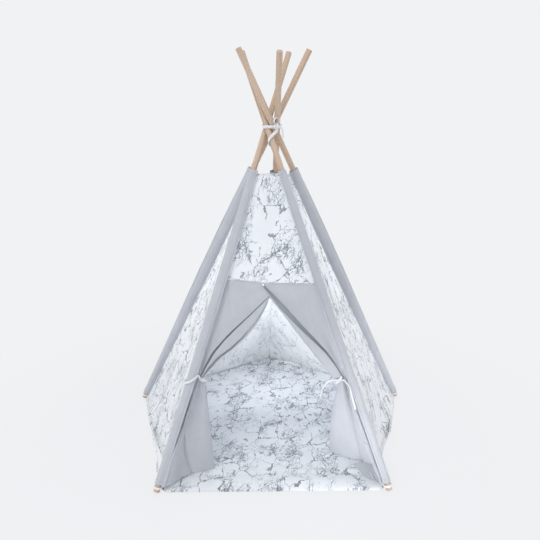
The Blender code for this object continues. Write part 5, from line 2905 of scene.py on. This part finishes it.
    def top_height(self, flat: Array, inset: Array) -> Array:
        """The height of the mat's top: rounded at its rim, soft inside, with its seams drawn in.

        Args:
            flat: Where each point lies on the floor.
            inset: How far in from the outline each lies.

        Returns:
            One height to a point.
        """
        size = self.size
        rim = np.clip(inset / size.rim_width, 0.0, 1.0)
        base = size.rim_height + (size.thickness - size.rim_height) * np.sqrt(1 - (1 - rim) ** 2)
        soft = ripples(flat, size.soft_size, 3.0, 2) * size.soft
        front = flat[:, 1] + FRONT_REACH
        lip = size.lip * np.exp(-(((front - size.lip_place) / size.lip_width) ** 2))
        lip = lip * np.exp(-((flat[:, 0] / size.lip_reach) ** 8))
        seam = size.seam_depth * np.exp(-(((front - size.seam) / size.seam_width) ** 2))
        seam = seam * (np.abs(flat[:, 0]) < size.seam_reach)
        rear = np.clip((flat[:, 1] - 0.15) / 0.15, 0.0, 1.0)
        turned_up = size.turned_up * rear * np.exp(-inset / 0.02)
        edge_seam = np.exp(-(((inset - size.edge_seam) / size.edge_seam_width) ** 2))
        edge_seam = size.edge_seam_depth * edge_seam * (1 - rear)
        return base + (soft + lip) * rim - (seam + edge_seam) * rim + turned_up

    def corner_loop(self, pole: PoleLine) -> None:
        """A tape loop from a corner of the mat round its pole.

        Args:
            pole: The pole.
        """
        loop = self.loop
        height = self.size.thickness + TOUCH + loop.tape / 2
        radius = POLE_RADIUS / math.cos(pole.tilt) + TOUCH + CLOTH / 2
        centre = pole.point(pole.along_at(height))
        inward = -unit(pole.foot)
        spread = math.acos(radius / loop.reach)
        heading = math.atan2(inward[1], inward[0])
        turns = heading + np.linspace(spread, 2 * math.pi - spread, loop.arc_steps)
        arc = centre + np.stack([np.cos(turns), np.sin(turns), np.zeros(loop.arc_steps)], axis=1) * radius
        tip = centre + inward * loop.reach
        there = np.linspace(tip, arc[0], loop.side_steps)[:-1]
        back = np.linspace(arc[-1], tip, loop.side_steps)[1:-1]
        route = np.vstack([there, arc, back])
        outward = (tip - route) @ inward / (loop.reach + radius)
        route = route + pole.up * (loop.rise * outward[:, None])
        side = unit(np.cross(np.gradient(route, axis=0), pole.up))
        side *= np.sign((side * (route - centre)).sum(axis=1))[:, None]
        tape = ribbon(f"corner_tape_{pole.name}", route, side, loop.tape, self.finishes.tape, closed=True)
        self.place(tape, "mat", Slot.TAPE, [f"corner_loop_{pole.name}"])


class Studio:
    """The floor, the light and the camera."""

    aim = Vector((0.15, -0.2, 0.35))
    outside = (
        ("key", (-1.2, -1.9, 4.2), 2.2, 39.0),
        ("fill", (2.6, -2.6, 2.6), 2.6, 8.0),
        ("left", (-3.4, 0.6, 1.9), 2.4, 11.0),
        ("right", (3.4, 0.6, 1.9), 2.4, 22.0),
        ("low", (-1.7, -2.5, 0.45), 1.3, 11.0),
    )
    sky = (0.97, 0.98, 1.0, 1.0)
    sky_strength = 0.72

    def build(self) -> None:
        """Sets them up."""
        bpy.context.scene.view_settings.view_transform = "Standard"
        self.floor()
        self.world()
        self.lamps()
        self.camera()

    def floor(self) -> None:
        """A wide pale floor."""
        Bench.clear()
        bpy.ops.mesh.primitive_plane_add(size=60.0, location=(0.0, 0.0, -0.0006))
        floor = bpy.context.object
        bpy.ops.object.transform_apply(location=True, rotation=True, scale=True)
        floor.name = "studio_floor"
        floor.data.materials.append(StudioFloorFinish().make())

    def world(self) -> None:
        """Even light from all round, and the backdrop's colour for the camera and in reflections."""
        world = bpy.data.worlds.new("studio")
        bpy.context.scene.world = world
        world.use_nodes = True
        nodes, links = world.node_tree.nodes, world.node_tree.links
        nodes.clear()
        path = nodes.new("ShaderNodeLightPath")
        seen = path.outputs["Is Camera Ray"]
        for ray in ("Is Glossy Ray", "Is Transmission Ray"):
            either = nodes.new("ShaderNodeMath")
            either.operation = "MAXIMUM"
            links.new(seen, either.inputs[0])
            links.new(path.outputs[ray], either.inputs[1])
            seen = either.outputs[0]
        mix = nodes.new("ShaderNodeMixShader")
        links.new(seen, mix.inputs[0])
        backdrop = (*StudioFloorFinish().backdrop, 1.0)
        for slot, (colour, strength) in enumerate(((self.sky, self.sky_strength), (backdrop, 1.0)), 1):
            light = nodes.new("ShaderNodeBackground")
            light.inputs["Color"].default_value = colour
            light.inputs["Strength"].default_value = strength
            links.new(light.outputs[0], mix.inputs[slot])
        output = nodes.new("ShaderNodeOutputWorld")
        links.new(mix.outputs[0], output.inputs[0])

    @staticmethod
    def lamp(name: str, kind: str, place: Sequence[float], way: Vector, **settings: Any) -> Piece:
        """Hangs one lamp.

        Args:
            name: The lamp's name.
            kind: The lamp's type.
            place: Where it hangs.
            way: The way that it shines.
            settings: Its settings.

        Returns:
            The lamp's object.
        """
        light = bpy.data.lights.new(name, kind)
        for key, value in settings.items():
            setattr(light, key, value)
        holder = bpy.data.objects.new(name, light)
        bpy.context.collection.objects.link(holder)
        holder.location = place
        holder.rotation_euler = way.to_track_quat("-Z", "Y").to_euler()
        return holder

    def lamps(self) -> None:
        """Five wide soft lamps outside, a faint one inside, and a narrow one for the right curtain."""
        for name, place, size, power in self.outside:
            way = self.aim - Vector(place)
            self.lamp(name, "AREA", place, way, shape="DISK", size=size, energy=power)
        inside_way = Vector((0.0, 0.98, 0.17))
        inside = {"shape": "DISK", "size": 0.26, "energy": 2.5}
        holder = self.lamp("inside", "AREA", (0.0, -0.05, 0.50), inside_way, **inside)
        holder.visible_camera = False
        place = Vector((-0.2, -2.7, 0.4))
        way = Vector((0.31, -0.38, 0.16)) - place
        narrow = {"energy": 190.0, "spot_size": math.radians(15), "spot_blend": 1.0, "shadow_soft_size": 0.25}
        self.lamp("right_curtain_lamp", "SPOT", place, way, **narrow)

    def camera(self) -> None:
        """The camera where the photograph was taken from."""
        focal, pitch, yaw, picture, sensor = 562.844, 0.265835, 0.0143174, 540, 36.0
        data = bpy.data.cameras.new("camera")
        data.sensor_width = sensor
        data.lens = focal / picture * sensor
        camera = bpy.data.objects.new("camera", data)
        bpy.context.collection.objects.link(camera)
        camera.location = (-0.035576, -2.158814, 1.263821)
        camera.rotation_euler = (math.pi / 2 - pitch, 0.0, -yaw)
        bpy.context.scene.camera = camera


@dataclass
class Tent:
    """The whole tent, assembly by assembly."""

    finishes: Finishes = field(default_factory=Finishes)

    def walls(self) -> dict[str, WallSize]:
        """The walls' sizes, in order round the tent from the front right pole.

        Returns:
            The sizes by the CAD node's name.
        """
        front = ((1 - DRAWN_IN.place, DRAWN_IN.spread, 0.020),)
        rear = ((DRAWN_IN.place, DRAWN_IN.spread, 0.020),)
        return {
            "wall_side_right": WallSize(lifts=front, drawn_in="one"),
            "wall_back_right": WallSize(lifts=((0.80, 0.12, 0.017),), hem_at_poles=0.008),
            "wall_back_left": WallSize(hem_at_poles=0.004, hem_midway=0.004),
            "wall_side_left": WallSize(lifts=rear, drawn_in="other"),
        }

    def build(self) -> None:
        """Builds every assembly."""
        PoleSet(self.finishes).build()
        names = list(FEET)
        for index, (name, size) in enumerate(self.walls().items()):
            WallPanel(self.finishes, name, names[index], names[index + 1], size, 1.3 + index * 2.1).build()
        header = WallSize(top=1.061, hem_at_poles=DOOR_HEAD, hem_midway=DOOR_HEAD, hem=0.006, sag=0.003)
        WallPanel(self.finishes, "front_header", "front_left", "front_right", header, 11.7).build()
        for name in DOOR_SIZES:
            DoorHalf(self.finishes, name).build()
        Lashing(self.finishes).build()
        FloorMat(self.finishes).build()


def main() -> None:
    """Builds the tent and its studio, and notes how large it came out."""
    logging.basicConfig(level=logging.INFO, format="%(name)s %(message)s")
    Studio().build()
    Tent().build()


if __name__ == "__main__":
    main()
